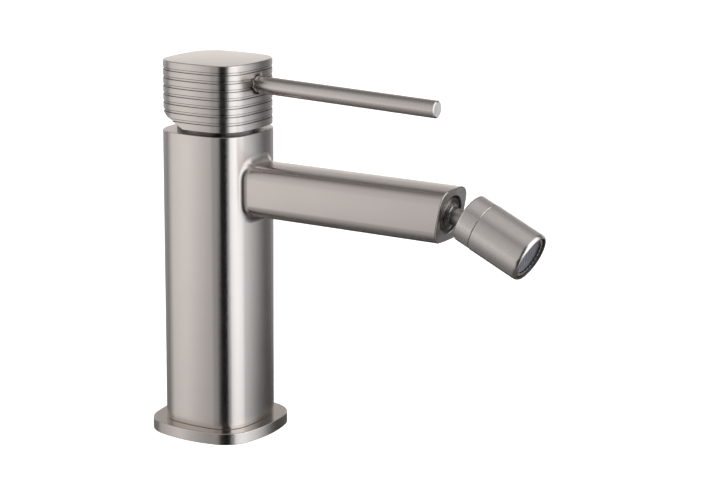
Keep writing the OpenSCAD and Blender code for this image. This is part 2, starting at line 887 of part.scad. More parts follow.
// Disc with rings of round holes, each ring six holes longer than the one inside it.
module drilled_disc(radius, from_z, to_z, pitch, hole, rings) {
    difference() {
        rod(radius, from_z, to_z);
        rod(hole, from_z - past, to_z + past);
        for (k = [1:rings], i = [0:6 * k - 1])
            rotate(60 * i / k)
                translate([k * pitch, 0, from_z - past])
                    cylinder(r = hole, h = to_z - from_z + 2 * past, $fn = 6);
    }
}

module aerator_insert() {
    color(acetal)
        along_nozzle()
            drilled_disc(aerator_inner - thread_gap, insert_z, insert_z + insert_thickness, insert_pitch,
                insert_hole, insert_rings);
}

module aerator_mesh() {
    color(steel)
        along_nozzle()
            drilled_disc(aerator_inner - thread_gap, mesh_z - mesh_thickness, mesh_z, mesh_pitch,
                mesh_hole, mesh_rings);
}

mixer_body();
base_flange();
base_gasket();
cover_ring();
cartridge_nut();
cartridge_housing();
cartridge_base();
inlet_seals();
outlet_seal();
fixed_disc();
moving_disc();
disc_carrier();
rotor();
stem_pin();
lever_stem();
handle_block();
lever_rod();
ball_stud();
stud_seal();
ball_liner();
ball_seal();
nozzle_collar();
nozzle_sleeve();
aerator_seal();
aerator_housing();
aerator_insert();
aerator_mesh();
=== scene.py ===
from math import acos, asin, atan2, copysign, cos, degrees, hypot, radians, sin, sqrt, tan
from math import pi as PI
import bmesh
import bpy
from mathutils import Matrix, Vector
from mathutils.geometry import tessellate_polygon


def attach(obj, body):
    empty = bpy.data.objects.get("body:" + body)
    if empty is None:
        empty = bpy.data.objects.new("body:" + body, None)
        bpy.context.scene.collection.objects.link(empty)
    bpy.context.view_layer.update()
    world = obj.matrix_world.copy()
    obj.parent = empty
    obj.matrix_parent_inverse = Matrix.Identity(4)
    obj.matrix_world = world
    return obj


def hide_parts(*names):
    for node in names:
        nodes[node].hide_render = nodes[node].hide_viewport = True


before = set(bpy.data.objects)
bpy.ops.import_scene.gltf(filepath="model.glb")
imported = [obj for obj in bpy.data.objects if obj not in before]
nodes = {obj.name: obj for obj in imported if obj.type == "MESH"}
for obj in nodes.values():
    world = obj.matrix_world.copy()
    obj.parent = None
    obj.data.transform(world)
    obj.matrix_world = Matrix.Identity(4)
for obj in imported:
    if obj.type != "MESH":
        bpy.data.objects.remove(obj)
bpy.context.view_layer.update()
scene = bpy.context.scene
MM = 0.001

# Sizes of the CAD model in millimetres: R is a radius, W a width, H a height, D a depth, T a thickness,
# L a length, and Z a height above the deck. ROOT is the radius of the fillet at the spout's root
PLATE_W, PLATE_T, PLATE_R, PLATE_BOW = 51.3, 4.9, 14.0, 56.0
GASKET_R, GASKET_W, GASKET_D = 20.5, 3.0, 2.0
BODY_W, BODY_H, BODY_R, BODY_BOW = 40.0, 128.5, 11.3, 79.0
SPIGOT_R, SPIGOT_Z = 14.9, 1.0
INLET_X, INLET_Y, INLET_R, INLET_D = 7.5, -3.0, 4.5, 15.0
FIXING_Y, FIXING_R, FIXING_D = 9.0, 3.4, 18.0
SPOUT_S, SPOUT_R, SPOUT_BOW, SPOUT_Z, SPOUT_L = 21.5, 5.7, 140.0, 105.4, 110.2
SLANT = radians(10.4)
RECESS_R, RECESS_D, STUD_HOLE_R, STUD_HOLE_D = 7.9, 3.6, 5.5, 13.6
ROOT = 3.4
BORE_R, CLAMP_R, SEAT_Z, CLAMP_Z = 12.7, 14.0, 108.0, 121.5
NECK_R, NECK_H, NECK_HOLE, NECK_ROOM = 17.0, 3.1, 12.1, 13.1
HEAD_Z, HEAD_W, HEAD_H, BANDS = 130.2, 39.5, 27.3, 8
GROOVE_W, GROOVE_D = 0.8, 0.5
HOLLOW_R, HOLLOW_H = 17.8, 10.8
CUT_Y, CUT_ANGLE = 3.5, radians(26.5)
ROD_R, ROD_L, ROD_Z, ROD_SLOPE, ROD_START = 3.5, 103.5, 149.0, radians(1.5), 16.5
BALL_REACH, BALL_R, STUD_NECK = 13.6, 7.0, 3.6
FLANGE_R, FLANGE_T = 6.9, 2.2
TILT = radians(25)
COLLAR_R, COLLAR_BACK, SEAM = 10.05, 6.2, 1.4
SLEEVE_R, MOUTH_FRONT, MOUTH_R, MOUTH_D = 10.2, 24.3, 8.7, 11.5
SOCKET_R, THROAT_R, SLEEVE_BORE = 8.59, 7.4, 5.5
AERATOR_R, AERATOR_IN, AERATOR_FRONT = 8.35, 7.15, 23.3

BALL_Y = -SPOUT_L - BALL_REACH * cos(SLANT)
BALL_Z = SPOUT_Z - BALL_REACH * sin(SLANT)
# Half height of the stretch of the tower's wall that is fitted to the spout's root
WINDOW_Z = 15.6


def frame_at(origin, angle):
    """Frame with +Z turned from up towards -Y by the angle, in millimetres."""
    return Matrix.Translation(origin) @ Matrix.Rotation(angle, 4, "X")


ALONG_STUD = frame_at((0, -SPOUT_L, SPOUT_Z), PI / 2 + SLANT)
ALONG_NOZZLE = frame_at((0, BALL_Y, BALL_Z), PI / 2 + TILT)
ALONG_ROD = frame_at((0, 0, ROD_Z), PI / 2 + ROD_SLOPE)
UPRIGHT = Matrix.Identity(4)
SPOUT_SLOT, TOP_SLOT = 1, 1
# Slot 2 holds painted shade on the head's groove flanks and rod hole, and painted light on the spout's end.
END_SLOT, PAINTED_SHADE_SLOT = 2, 2
ROOT_SLOT = 3


def add_object(name, data):
    """New object in the scene."""
    obj = bpy.data.objects.new(name, data)
    scene.collection.objects.link(obj)
    return obj


class Shape:
    """Patches of one closed mesh. Shared points are joined, and each patch keeps its own normals."""

    def __init__(self, matrix=UPRIGHT):
        self.matrix = matrix
        self.turn = matrix.to_3x3()
        self.verts = []
        self.index = {}
        self.faces = []
        self.normals = []
        self.slots = []

    def vert(self, p):
        q = self.matrix @ Vector(p)
        key = (round(q.x, 4), round(q.y, 4), round(q.z, 4))
        if key not in self.index:
            self.index[key] = len(self.verts)
            self.verts.append((q.x * MM, q.y * MM, q.z * MM))
        return self.index[key]

    def face(self, points, normals, slot=0):
        ids, aims = [], []
        for p, n in zip(points, normals):
            i = self.vert(p)
            if i not in ids:
                ids.append(i)
                aims.append((self.turn @ Vector(n)).normalized())
        if len(ids) < 3:
            return
        corners = [Vector(self.verts[i]) for i in ids]
        flat = Vector((0, 0, 0))
        for i, c in enumerate(corners):
            flat += c.cross(corners[(i + 1) % len(corners)])
        if flat.dot(sum(aims, Vector((0, 0, 0)))) < 0:
            ids.reverse()
            aims.reverse()
        self.faces.append(ids)
        self.normals.extend(aims)
        self.slots.append(slot)

    def grid(self, rows, wrap=False, slot=0):
        """rows of (point, normal) pairs, all of the same length."""
        count = len(rows[0])
        for a, b in zip(rows, rows[1:]):
            for i in range(count if wrap else count - 1):
                k = (i + 1) % count
                quad = [a[i], a[k], b[k], b[i]]
                self.face([q[0] for q in quad], [q[1] for q in quad], slot)

    def flat(self, loops, normal, slot=0):
        """A flat face with holes: the first loop is its outline."""
        points = [p for loop in loops for p in loop]
        for tri in tessellate_polygon([[Vector(p) for p in loop] for loop in loops]):
            self.face([points[i] for i in tri], [normal] * 3, slot)

    def build(self, name, materials, matrix=None):
        mesh = bpy.data.meshes.new(name)
        mesh.from_pydata(self.verts, [], self.faces)
        for m in materials:
            mesh.materials.append(m)
        mesh.polygons.foreach_set("material_index", self.slots)
        mesh.polygons.foreach_set("use_smooth", [True] * len(self.faces))
        mesh.normals_split_custom_set([tuple(n) for n in self.normals])
        mesh.update()
        obj = add_object(name, mesh)
        if matrix:
            obj.matrix_world = Matrix.Translation(matrix.to_translation() * MM) @ matrix.to_3x3().to_4x4()
        return obj


def line(a, b):
    """Straight run of a profile: rows of (radius, height, outward radius part, outward height part)."""
    dr, dz = b[0] - a[0], b[1] - a[1]
    n = hypot(dr, dz)
    return [(*p, dz / n, -dr / n) for p in (a, b)]


def lines(*points):
    """Straight runs of a profile from point to point."""
    return [line(a, b) for a, b in zip(points, points[1:])]


def bend(cx, cz, r, start, end, steps=6, hollow=False):
    """Round run of a profile, from one angle to another in degrees. A hollow bend curves inwards."""
    run = []
    for i in range(steps + 1):
        a = radians(start + (end - start) * i / steps)
        s = -1 if hollow else 1
        run.append((cx + r * cos(a), cz + r * sin(a), s * cos(a), s * sin(a)))
    return run


def turns(count):
    """Angles that share out a full turn."""
    return [2 * PI * i / count for i in range(count)]


def lathe(shape, runs, sides=96, slot=0):
    """Turns profile runs about the shape's Z axis."""
    for run in runs:
        shape.grid(polar_rows(UPRIGHT, turns(sides), run), True, slot)


class Bowed:
    """Outline of a square with bowed sides and round corners, by the direction in which it faces.
    Its corners have radius r and centre (c, c), its sides have radius s, centre k and half angle a."""

    def __init__(self, width, corner, bow):
        self.r, self.s = corner, bow
        self.k = width / 2 - bow
        self.c = (self.k + sqrt(2 * (bow - corner) ** 2 - self.k * self.k)) / 2
        self.a = atan2(self.c, self.c - self.k)

    def at(self, direction, inset=0.0):
        """Point and normal where the outline faces the direction, in radians."""
        quarter = ((direction + PI / 4) / (PI / 2) + 1e-9) // 1
        local = direction - quarter * PI / 2
        if abs(local) <= self.a:
            cx, cy, r = self.k, 0.0, self.s
        else:
            cx, cy, r = self.c, copysign(self.c, local), self.r
        x, y = cx + (r - inset) * cos(local), cy + (r - inset) * sin(local)
        co, si = cos(quarter * PI / 2), sin(quarter * PI / 2)
        return (x * co - y * si, x * si + y * co), (cos(direction), sin(direction))

    def facing(self, x):
        """Direction at which the side that faces -Y passes x."""
        if abs(x) <= self.s * sin(self.a):
            return 1.5 * PI + asin(x / self.s)
        return 1.5 * PI + copysign(asin((abs(x) - self.c) / self.r), x)

    def directions(self, sides, corners):
        """Directions of the outline's points, with so many steps to a side and to a corner."""
        out = []
        for q in range(4):
            out += [q * PI / 2 - self.a + 2 * self.a * i / sides for i in range(sides)]
            out += [q * PI / 2 + self.a + (PI / 2 - 2 * self.a) * i / corners for i in range(corners)]
        return out


def skirt(shape, outline, directions, runs, slot=0):
    """Carries profile runs round a bowed outline. A profile's first number is the inset from it."""
    for run in runs:
        rows = []
        for inset, z, out, up in run:
            row = []
            for d in directions:
                p, n = outline.at(d, inset)
                row.append(((p[0], p[1], z), (n[0] * out, n[1] * out, up)))
            rows.append(row)
        shape.grid(rows, True, slot)


def edge(inset, z, r, start, end, steps=4):
    """Round run for skirt() about the point at that inset and height. Angles are degrees from outwards."""
    run = []
    for i in range(steps + 1):
        a = radians(start + (end - start) * i / steps)
        run.append((inset - r * cos(a), z + r * sin(a), cos(a), sin(a)))
    return run


def ring_at(angles, radius, z, x=0, y=0):
    """Points of a level circle about an axis through (x, y), at the given angles."""
    return [(x + radius * cos(a), y + radius * sin(a), z) for a in angles]


def cover(shape, outer, inner, normal, slot=0):
    """Flat strip of quads between two loops of the same length."""
    shape.grid([[(p, normal) for p in outer], [(p, normal) for p in inner]], True, slot)


def hub(shape, loop, middle, normal, slot=0):
    """Triangles from a loop to its middle."""
    for i, p in enumerate(loop):
        shape.face([p, loop[(i + 1) % len(loop)], middle], [normal] * 3, slot)


UP, DOWN = (0, 0, 1), (0, 0, -1)


def thread(shape, x, y, r, low, high, pitch, depth, sides):
    """Wall of a threaded hole with a real helical groove, plain over its first and last turn."""
    per_turn = 6
    steps = int(round((high - low) / pitch * per_turn))
    rows = []
    for j in range(steps + 1):
        z = low + (high - low) * j / steps
        fade = min(1.0, (z - low) / pitch, (high - z) / pitch)
        row = []
        for i, a in enumerate(turns(sides)):
            turn = (z / pitch - i / sides) % 1.0
            wave = 1 - abs(2 * turn - 1)
            slope = (2 if turn < 0.5 else -2) * depth / pitch * fade
            if min(turn, abs(turn - 0.5), 1 - turn) < 0.05:
                slope = 0.0
            rr = r + depth * wave * fade
            row.append(((x + rr * cos(a), y + rr * sin(a), z), (-cos(a), -sin(a), slope)))
        rows.append(row)
    shape.grid(rows, True)


def threaded_hole(shape, x, y, r, depth, pitch, face_z, sides=40):
    """Chamfer, thread and closed end of a hole that opens downwards. Returns its rim."""
    mouth, low, top = r + 0.5, face_z + 0.5, face_z + depth
    rim = ring_at(turns(sides), mouth, face_z, x, y)
    rows = []
    for rr, z in ((mouth, face_z), (r, low)):
        rows.append([((x + rr * cos(a), y + rr * sin(a), z), (-cos(a), -sin(a), -1)) for a in turns(sides)])
    shape.grid(rows, True)
    thread(shape, x, y, r, low, top, pitch, 0.54 * pitch, sides)
    hub(shape, ring_at(turns(sides), r, top, x, y), (x, y, top), DOWN)
    return rim


def slerp(a, b, t):
    """Turns the first of two unit vectors towards the second."""
    a, b = Vector(a), Vector(b)
    w = acos(max(-1, min(1, a.dot(b))))
    return (a * sin((1 - t) * w) + b * sin(t * w)) / sin(w)


def polar_rows(matrix, angles, run):
    """Rows of points and normals that carry a profile run about a frame's axis."""
    turn = matrix.to_3x3()
    rows = []
    for r, z, nr, nz in run:
        rows.append([(matrix @ Vector((r * cos(a), r * sin(a), z)),
                      turn @ Vector((nr * cos(a), nr * sin(a), nz))) for a in angles])
    return rows


def recess(shape, matrix, angles, steps, slot=0):
    """Straight walls and floors of a round recess, from its rim inwards, closed at its middle."""
    for (r0, z0), (r1, z1) in zip(steps, steps[1:]):
        n = hypot(r1 - r0, z1 - z0)
        nr, nz = (z1 - z0) / n, (r0 - r1) / n
        rows = polar_rows(matrix, angles, [(r0, z0, nr, nz), (r1, z1, nr, nz)])
        shape.grid(rows, True, slot)
    r, z = steps[-1]
    end = [p for p, n in polar_rows(matrix, angles, [(r, z, 0, 1)])[0]]
    hub(shape, end, matrix @ Vector((0, 0, z)), matrix.to_3x3() @ Vector((0, 0, 1)), slot)


def on_wall(tower, direction, z):
    """Point and normal of the tower's wall, at a height above the spout's axis."""
    p, n = tower.at(direction)
    return (*p, SPOUT_Z + z), (*n, 0)


def root_fillet(tower, spout, stations, steps=16):
    """Columns of the fillet that a ball rolls between spout and tower, and where they end on the tower."""
    limit = (tower.s + ROOT) * sin(tower.a)
    columns, foot = [], []
    for d in stations:
        (px, pz), _ = spout.at(d)
        x, z = px + ROOT * cos(d), pz + ROOT * sin(d)
        if abs(x) <= limit:
            cx, cy, r = 0.0, -tower.k, tower.s + ROOT
        else:
            cx, cy, r = copysign(tower.c, x), -tower.c, tower.r + ROOT
        y = cy - sqrt(r * r - (x - cx) ** 2)
        middle = Vector((x, y, SPOUT_Z + z))
        to_spout = Vector((-cos(d), 0, -sin(d)))
        to_body = Vector((cx - x, cy - y, 0)).normalized()
        end_x = x + ROOT * to_body.x
        foot.append((end_x, z))
        column = []
        for j in range(steps):
            way = slerp(to_spout, to_body, j / steps)
            column.append((middle + ROOT * way, -way))
        columns.append(column + [on_wall(tower, tower.facing(end_x), z)])
    return columns, foot


def front_window(shape, tower, foot, corner):
    """Wall at the spout's height: in front from the fillet's foot out to a rectangle, then the rest.
    Returns the directions of all its points."""
    fx, fz = foot[corner]
    half_x = WINDOW_Z * fx / fz
    border, tiny = [], 1e-9
    for x, z in foot:
        share = min(half_x / max(abs(x), tiny), WINDOW_Z / max(abs(z), tiny))
        border.append((x * share, z * share))
    rings = []
    for t in (0, 0.2, 0.45, 0.72, 1):
        ring = []
        for (ax, az), (bx, bz) in zip(foot, border):
            ring.append(on_wall(tower, tower.facing(ax + (bx - ax) * t), az + (bz - az) * t))
        rings.append(ring)
    shape.grid(rings, True)

    near = 1e-7
    edge_x = sorted(x for x, z in border if abs(z - WINDOW_Z) < near)
    edge_z = sorted(z for x, z in border if abs(x - half_x) < near)
    start, stop = tower.facing(half_x), tower.facing(-half_x) + 2 * PI
    rest = [d + turn for turn in (0, 2 * PI) for d in tower.directions(10, 16)
            if start + 0.01 < d + turn < stop - 0.01]
    rest = [start] + sorted(rest) + [stop]
    shape.grid([[on_wall(tower, d, z) for d in rest] for z in edge_z])
    return rest + [tower.facing(x) + 2 * PI for x in edge_x[1:-1]]


def underside(shape, foot_rim, angles):
    """Shoulder on the plate, spigot and its three threads."""
    cover(shape, [(x, y, PLATE_T) for x, y in foot_rim], ring_at(angles, SPIGOT_R, PLATE_T), DOWN)
    bevel = 0.4
    base_r, bevel_z = SPIGOT_R - bevel, SPIGOT_Z + bevel
    for run in ([(SPIGOT_R, PLATE_T, 1, 0), (SPIGOT_R, bevel_z, 1, 0)],
                [(SPIGOT_R, bevel_z, 1, -1), (base_r, SPIGOT_Z, 1, -1)]):
        shape.grid(polar_rows(UPRIGHT, angles, run), True)
    loops = [ring_at(sorted(angles), base_r, SPIGOT_Z)]
    inlet = (INLET_Y, INLET_R, INLET_D, 1.0)
    fixing = (FIXING_Y, FIXING_R, FIXING_D, 1.25)
    for x, (y, r, depth, pitch) in ((-INLET_X, inlet), (INLET_X, inlet), (0, fixing)):
        loops.append(threaded_hole(shape, x, y, r, depth, pitch, SPIGOT_Z))
    shape.flat(loops, DOWN)


def spout_skin(shape, spout, stations, root):
    """Spout from the fillet's rim on, the rounded edge of its slanted end and the ball stud's recess."""
    end_r, middle_y, steps = 0.4, -26, 4
    end_normal = Vector((0, -cos(SLANT), -sin(SLANT)))
    skin, rounding = [root, [], []], [[] for _ in range(steps + 1)]
    for d in stations:
        (px, pz), n = spout.at(d)
        out = Vector((n[0], 0, n[1]))
        corner = Vector((px, -SPOUT_L - tan(SLANT) * pz, SPOUT_Z + pz))
        shift = end_r * (1 - out.dot(end_normal)) / cos(SLANT)
        middle = corner - end_r * out + Vector((0, shift, 0))
        skin[1].append((Vector((px, middle_y, SPOUT_Z + pz)), out))
        skin[2].append((middle + end_r * out, out))
        for j in range(steps + 1):
            way = slerp(out, end_normal, j / steps)
            rounding[j].append((middle + end_r * way, way))
    shape.grid(skin, True, SPOUT_SLOT)
    shape.grid(rounding, True, SPOUT_SLOT)
    inverse = ALONG_STUD.inverted()
    end_loop = [p for p, n in rounding[-1]]
    angles = [atan2(q.y, q.x) for q in (inverse @ p for p in end_loop)]
    lip = 0.25
    rim = [p for p, n in polar_rows(ALONG_STUD, angles, [(RECESS_R + lip, 0, 0, 1)])[0]]
    # The end face and the recess take the end slot, whose lighter nickel is painted light.
    cover(shape, end_loop, rim, end_normal, END_SLOT)
    recess(shape, ALONG_STUD, angles, [(RECESS_R + lip, 0), (RECESS_R, -lip), (RECESS_R, -RECESS_D),
                                       (STUD_HOLE_R, -RECESS_D), (STUD_HOLE_R, -STUD_HOLE_D)], END_SLOT)


def make_tower(materials):
    """Tower and spout in one skin, with the fillet at the spout's root rolled round both."""
    shape = Shape()
    tower = Bowed(BODY_W, BODY_R, BODY_BOW)
    spout = Bowed(SPOUT_S, SPOUT_R, SPOUT_BOW)
    side_steps, corner_steps = 12, 20
    stations = spout.directions(side_steps, corner_steps)
    fillet, foot = root_fillet(tower, spout, stations)
    shape.grid(list(zip(*fillet)), True, ROOT_SLOT)
    directions = front_window(shape, tower, foot, side_steps + corner_steps // 2)

    top_r, foot_e, lip = 0.3, 0.22, 0.4
    skirt(shape, tower, directions, [
        [(foot_e, PLATE_T, 1, -1), (0, PLATE_T + foot_e, 1, -1)],
        [(0, PLATE_T + foot_e, 1, 0), (0, SPOUT_Z - WINDOW_Z, 1, 0)],
        [(0, SPOUT_Z + WINDOW_Z, 1, 0), (0, BODY_H - top_r, 1, 0)],
        edge(top_r, BODY_H - top_r, top_r, 0, 90),
    ])
    rim = [tower.at(d, top_r)[0] for d in directions]
    angles = [atan2(y, x) for x, y in rim]
    cover(shape, [(x, y, BODY_H) for x, y in rim], ring_at(angles, CLAMP_R + lip, BODY_H), UP)
    recess(shape, UPRIGHT, angles, [(CLAMP_R + lip, BODY_H), (CLAMP_R, BODY_H - lip), (CLAMP_R, CLAMP_Z),
                                    (BORE_R, CLAMP_Z), (BORE_R, SEAT_Z)])
    underside(shape, [tower.at(d, foot_e)[0] for d in directions], angles)
    spout_skin(shape, spout, stations, [column[0] for column in fillet])
    return shape.build("tower_and_spout", materials)


def make_plate(materials):
    """Base plate with the hole for the body's spigot and the groove for the gasket."""
    shape = Shape()
    outline = Bowed(PLATE_W, PLATE_R, PLATE_BOW)
    directions = outline.directions(14, 18)
    r, foot = 0.35, 0.2
    skirt(shape, outline, directions, [
        [(foot, 0, 0.7, -0.7), (0, foot, 0.7, -0.7)],
        [(0, foot, 1, 0), (0, PLATE_T - r, 1, 0)],
        edge(r, PLATE_T - r, r, 0, 90),
    ])
    hole = SPIGOT_R + 0.1
    rim = [outline.at(d, r)[0] for d in directions]
    angles = [atan2(y, x) for x, y in rim]

    def wall(radius, start, end, out):
        shape.grid(polar_rows(UPRIGHT, angles, [(radius, start, out, 0), (radius, end, out, 0)]), True)

    cover(shape, [(x, y, PLATE_T) for x, y in rim], ring_at(angles, hole, PLATE_T), UP, TOP_SLOT)
    wall(hole, PLATE_T, 0, -1)
    inner, outer = GASKET_R - GASKET_W / 2, GASKET_R + GASKET_W / 2
    cover(shape, ring_at(angles, hole, 0), ring_at(angles, inner, 0), DOWN)
    wall(inner, 0, GASKET_D, 1)
    cover(shape, ring_at(angles, inner, GASKET_D), ring_at(angles, outer, GASKET_D), DOWN)
    wall(outer, GASKET_D, 0, -1)
    below = [outline.at(d, foot)[0] for d in directions]
    cover(shape, ring_at(angles, outer, 0), [(x, y, 0) for x, y in below], DOWN)
    return shape.build("base_plate", materials)


def make_gasket(materials):
    """Round-edged sealing ring in the plate's groove."""
    shape = Shape()
    a, b, e = GASKET_R - GASKET_W / 2 + 0.02, GASKET_R + GASKET_W / 2 - 0.02, 0.35
    low, top = 0.02, GASKET_D - 0.02
    lathe(shape, [
        line((a + e, low), (b - e, low)), bend(b - e, low + e, e, -90, 0),
        line((b, low + e), (b, top - e)), bend(b - e, top - e, e, 0, 90),
        line((b - e, top), (a + e, top)), bend(a + e, top - e, e, 90, 180),
        line((a, top - e), (a, low + e)), bend(a + e, low + e, e, 180, 270),
    ])
    return shape.build("plate_gasket", materials)


def make_neck(materials):
    """Round neck between body and head, open over the cartridge."""
    shape = Shape(Matrix.Translation((0, 0, BODY_H)))
    r, lip, under = 1.1, 0.3, NECK_H - 0.6
    lathe(shape, [
        *lines((NECK_ROOM, 0), (NECK_R, 0), (NECK_R, NECK_H - r)),
        bend(NECK_R - r, NECK_H - r, r, 0, 90, 8),
        line((NECK_R - r, NECK_H), (NECK_HOLE + lip, NECK_H)),
        bend(NECK_HOLE + lip, NECK_H - lip, lip, 90, 180, 3),
        *lines((NECK_HOLE, NECK_H - lip), (NECK_HOLE, under), (NECK_ROOM, under), (NECK_ROOM, 0)),
    ], 144)
    return shape.build("neck_ring", materials)


def apply_modifiers(obj):
    """Puts what an object's modifiers make of its mesh in the mesh's place."""
    bpy.context.view_layer.update()
    result = bpy.data.meshes.new_from_object(obj.evaluated_get(bpy.context.evaluated_depsgraph_get()))
    obj.modifiers.clear()
    old = obj.data
    obj.data = result
    bpy.data.meshes.remove(old)


def cut(obj, shape, materials):
    """Cuts a shape from an object. The cut faces take the shape's slots."""
    tool = shape.build("tool", materials)
    m = obj.modifiers.new("cut", "BOOLEAN")
    m.operation, m.solver, m.object = "DIFFERENCE", "EXACT", tool
    apply_modifiers(obj)
    bpy.data.objects.remove(tool)


def drop_slivers(mesh):
    """Joins points closer than two microns and dissolves the faces without area that cuts leave."""
    near = 2e-6
    bm = bmesh.new()
    bm.from_mesh(mesh)
    bmesh.ops.remove_doubles(bm, verts=bm.verts, dist=near)
    bmesh.ops.dissolve_degenerate(bm, edges=bm.edges, dist=near)
    bm.to_mesh(mesh)
    bm.free()


def soften(obj, angle=32):
    """Smooth shading with crisp edges, where large faces decide the normals."""
    mesh = obj.data
    drop_slivers(mesh)
    mesh.polygons.foreach_set("use_smooth", [True] * len(mesh.polygons))
    mesh.set_sharp_from_angle(angle=radians(angle))
    m = obj.modifiers.new("normals", "WEIGHTED_NORMAL")
    m.keep_sharp, m.weight = True, 60
    apply_modifiers(obj)


def band_profiles(r, top_r):
    """Profile runs of the head's bands, and of the flanks of its grooves, which carry painted shade."""
    pitch = HEAD_H / BANDS
    bands, flanks = [edge(r, HEAD_Z + r, r, -90, 0)], []
    for i in range(BANDS):
        last = i == BANDS - 1
        low = HEAD_Z + i * pitch + (GROOVE_W / 2 if i else 0)
        high = HEAD_Z + (i + 1) * pitch - (0 if last else GROOVE_W / 2)
        rr = top_r if last else r
        bands.append([(0, low + r, 1, 0), (0, high - rr, 1, 0)])
        if last:
            bands.append(edge(rr, high - rr, rr, 0, 90, 5))
            break
        above = high + GROOVE_W
        bands.append([(GROOVE_D, high, 1, 0), (GROOVE_D, above, 1, 0)])
        flanks += [edge(r, high - r, r, 0, 90), [(r, high, 0, 1), (GROOVE_D, high, 0, 1)],
                   [(GROOVE_D, above, 0, -1), (r, above, 0, -1)], edge(r, above + r, r, -90, 0)]
    return bands, flanks


def make_head(materials):
    """Banded head: round-edged bands with flat-floored grooves between them, hollow over the neck."""
    shape = Shape()
    outline = Bowed(HEAD_W, BODY_R, BODY_BOW)
    directions = outline.directions(12, 16)
    r, top_r = 0.24, 0.45
    bands, flanks = band_profiles(r, top_r)
    skirt(shape, outline, directions, bands)
    # The groove flanks carry painted shade.
    skirt(shape, outline, directions, flanks, PAINTED_SHADE_SLOT)
    for z, inset, normal, slot in ((HEAD_Z, r, DOWN, 0), (HEAD_Z + HEAD_H, top_r, UP, TOP_SLOT)):
        hub(shape, [(*outline.at(d, inset)[0], z) for d in directions], (0, 0, z), normal, slot)
    head = shape.build("banded_head", materials)

    hollow = Shape()
    below, roof = HEAD_Z - 3, HEAD_Z + HOLLOW_H
    lathe(hollow, lines((0, below), (HOLLOW_R, below), (HOLLOW_R, roof), (0, roof)), 128)
    cut(head, hollow, materials)
    half, stem_top = 3.52, ROD_Z + 4.0
    socket = Shape()
    box_solid(socket, (-half, -half, roof - 1), (half, half, stem_top))
    cut(head, socket, materials)
    wedge = Shape(Matrix.Translation((0, CUT_Y, HEAD_Z)) @ Matrix.Rotation(CUT_ANGLE, 4, "X"))
    box_solid(wedge, (-HEAD_W, 0, -HEAD_H), (HEAD_W, 2 * HEAD_W, 0))
    cut(head, wedge, materials)
    # The rod's hole is lined with painted shade, so its gap reads dark.
    hole = Shape(ALONG_ROD)
    face, gap_r, gap_depth, snug = HEAD_W / 2, 4.0, 1.4, ROD_R + 0.02
    step, beyond = face - gap_depth, face + 4
    lathe(hole, lines((0, 2), (snug, 2), (snug, step), (gap_r, step), (gap_r, beyond), (0, beyond)),
          64, PAINTED_SHADE_SLOT)
    cut(head, hole, materials)
    soften(head)
    return head


def box_solid(shape, low, high):
    """Block between two corners."""
    for axis in range(3):
        u, v = (axis + 1) % 3, (axis + 2) % 3
        for side, value in ((-1, low[axis]), (1, high[axis])):
            points = []
            for pu, pv in ((low[u], low[v]), (high[u], low[v]), (high[u], high[v]), (low[u], high[v])):
                p = [0, 0, 0]
                p[axis], p[u], p[v] = value, pu, pv
                points.append(p)
            n = [0, 0, 0]
            n[axis] = side
            shape.face(points, [n] * 4)


def make_rod(materials):
    """Lever rod with its root inside the head and a bevelled tip."""
    shape = Shape()
    tip, soft, root_r, root_start = 0.55, 0.3, 2.95, 3.55
    bevel_r = ROD_R - soft * (1 - cos(PI / 4))
    bevel_z = ROD_L - tip + soft * sin(PI / 4)
    lathe(shape, [
        *lines((0, root_start), (root_r, root_start), (root_r, ROD_START), (ROD_R, ROD_START),
               (ROD_R, ROD_L - tip)),
        bend(ROD_R - soft, ROD_L - tip, soft, 0, 45, 3),
        line((bevel_r, bevel_z), (ROD_R - tip, ROD_L)),
    ], 96)
    # The flat end face takes slot 1, whose lighter nickel is painted highlight.
    lathe(shape, [line((ROD_R - tip, ROD_L), (0, ROD_L))], 96, 1)
    return shape.build("lever_bar", materials, ALONG_ROD)


def make_stud(materials):
    """Thread, seated flange with turned rings, flared neck and ball, bored through."""
    shape = Shape()
    back = -RECESS_D + 1
    front = back + FLANGE_T
    step_r, step_z = FLANGE_R - 1.9, front + 0.6
    bore, thread_r, length = 2.2, 5.48, 8
    end_z, chamfer, rim = back - length, 0.5, 0.25
    runs = [*lines((bore, end_z), (thread_r - chamfer, end_z), (thread_r, end_z + chamfer),
                   (thread_r, back), (FLANGE_R - 0.2, back), (FLANGE_R, back + 0.2),
                   (FLANGE_R, front - rim)),
            bend(FLANGE_R - rim, front - rim, rim, 0, 90, 3)]
    pitch, groove, deep = 0.34, 0.14, 0.09
    r = FLANGE_R - rim
    while r - pitch > step_r + 0.05:
        after = r - pitch
        runs += lines((r, front), (after + groove, front), (after + groove / 2, front - deep),
                      (after, front))
        r = after
    edge_r = 0.2
    flare = step_r - edge_r - STUD_NECK
    contact = BALL_REACH - sqrt(BALL_R ** 2 - STUD_NECK ** 2)
    start = degrees(atan2(contact - BALL_REACH, STUD_NECK))
    mouth = 3.66
    end = degrees(acos(mouth / BALL_R))
    mouth_z = BALL_REACH + sqrt(BALL_R ** 2 - mouth ** 2)
    runs += [*lines((r, front), (step_r, front), (step_r, step_z - edge_r)),
             bend(step_r - edge_r, step_z - edge_r, edge_r, 0, 90, 3),
             bend(STUD_NECK + flare, step_z + flare, flare, 270, 180, 8, True),
             line((STUD_NECK, step_z + flare), (STUD_NECK, contact)),
             bend(0, BALL_REACH, BALL_R, start, end, 20),
             *lines((mouth, mouth_z), (bore, mouth_z - mouth + bore), (bore, end_z))]
    lathe(shape, runs, 96)
    return shape.build("ball_stud_turned", materials, ALONG_STUD)


THREAD_R = SOCKET_R + 0.75
THREAD_Z = -1.4
SEAM_EDGE = 0.42


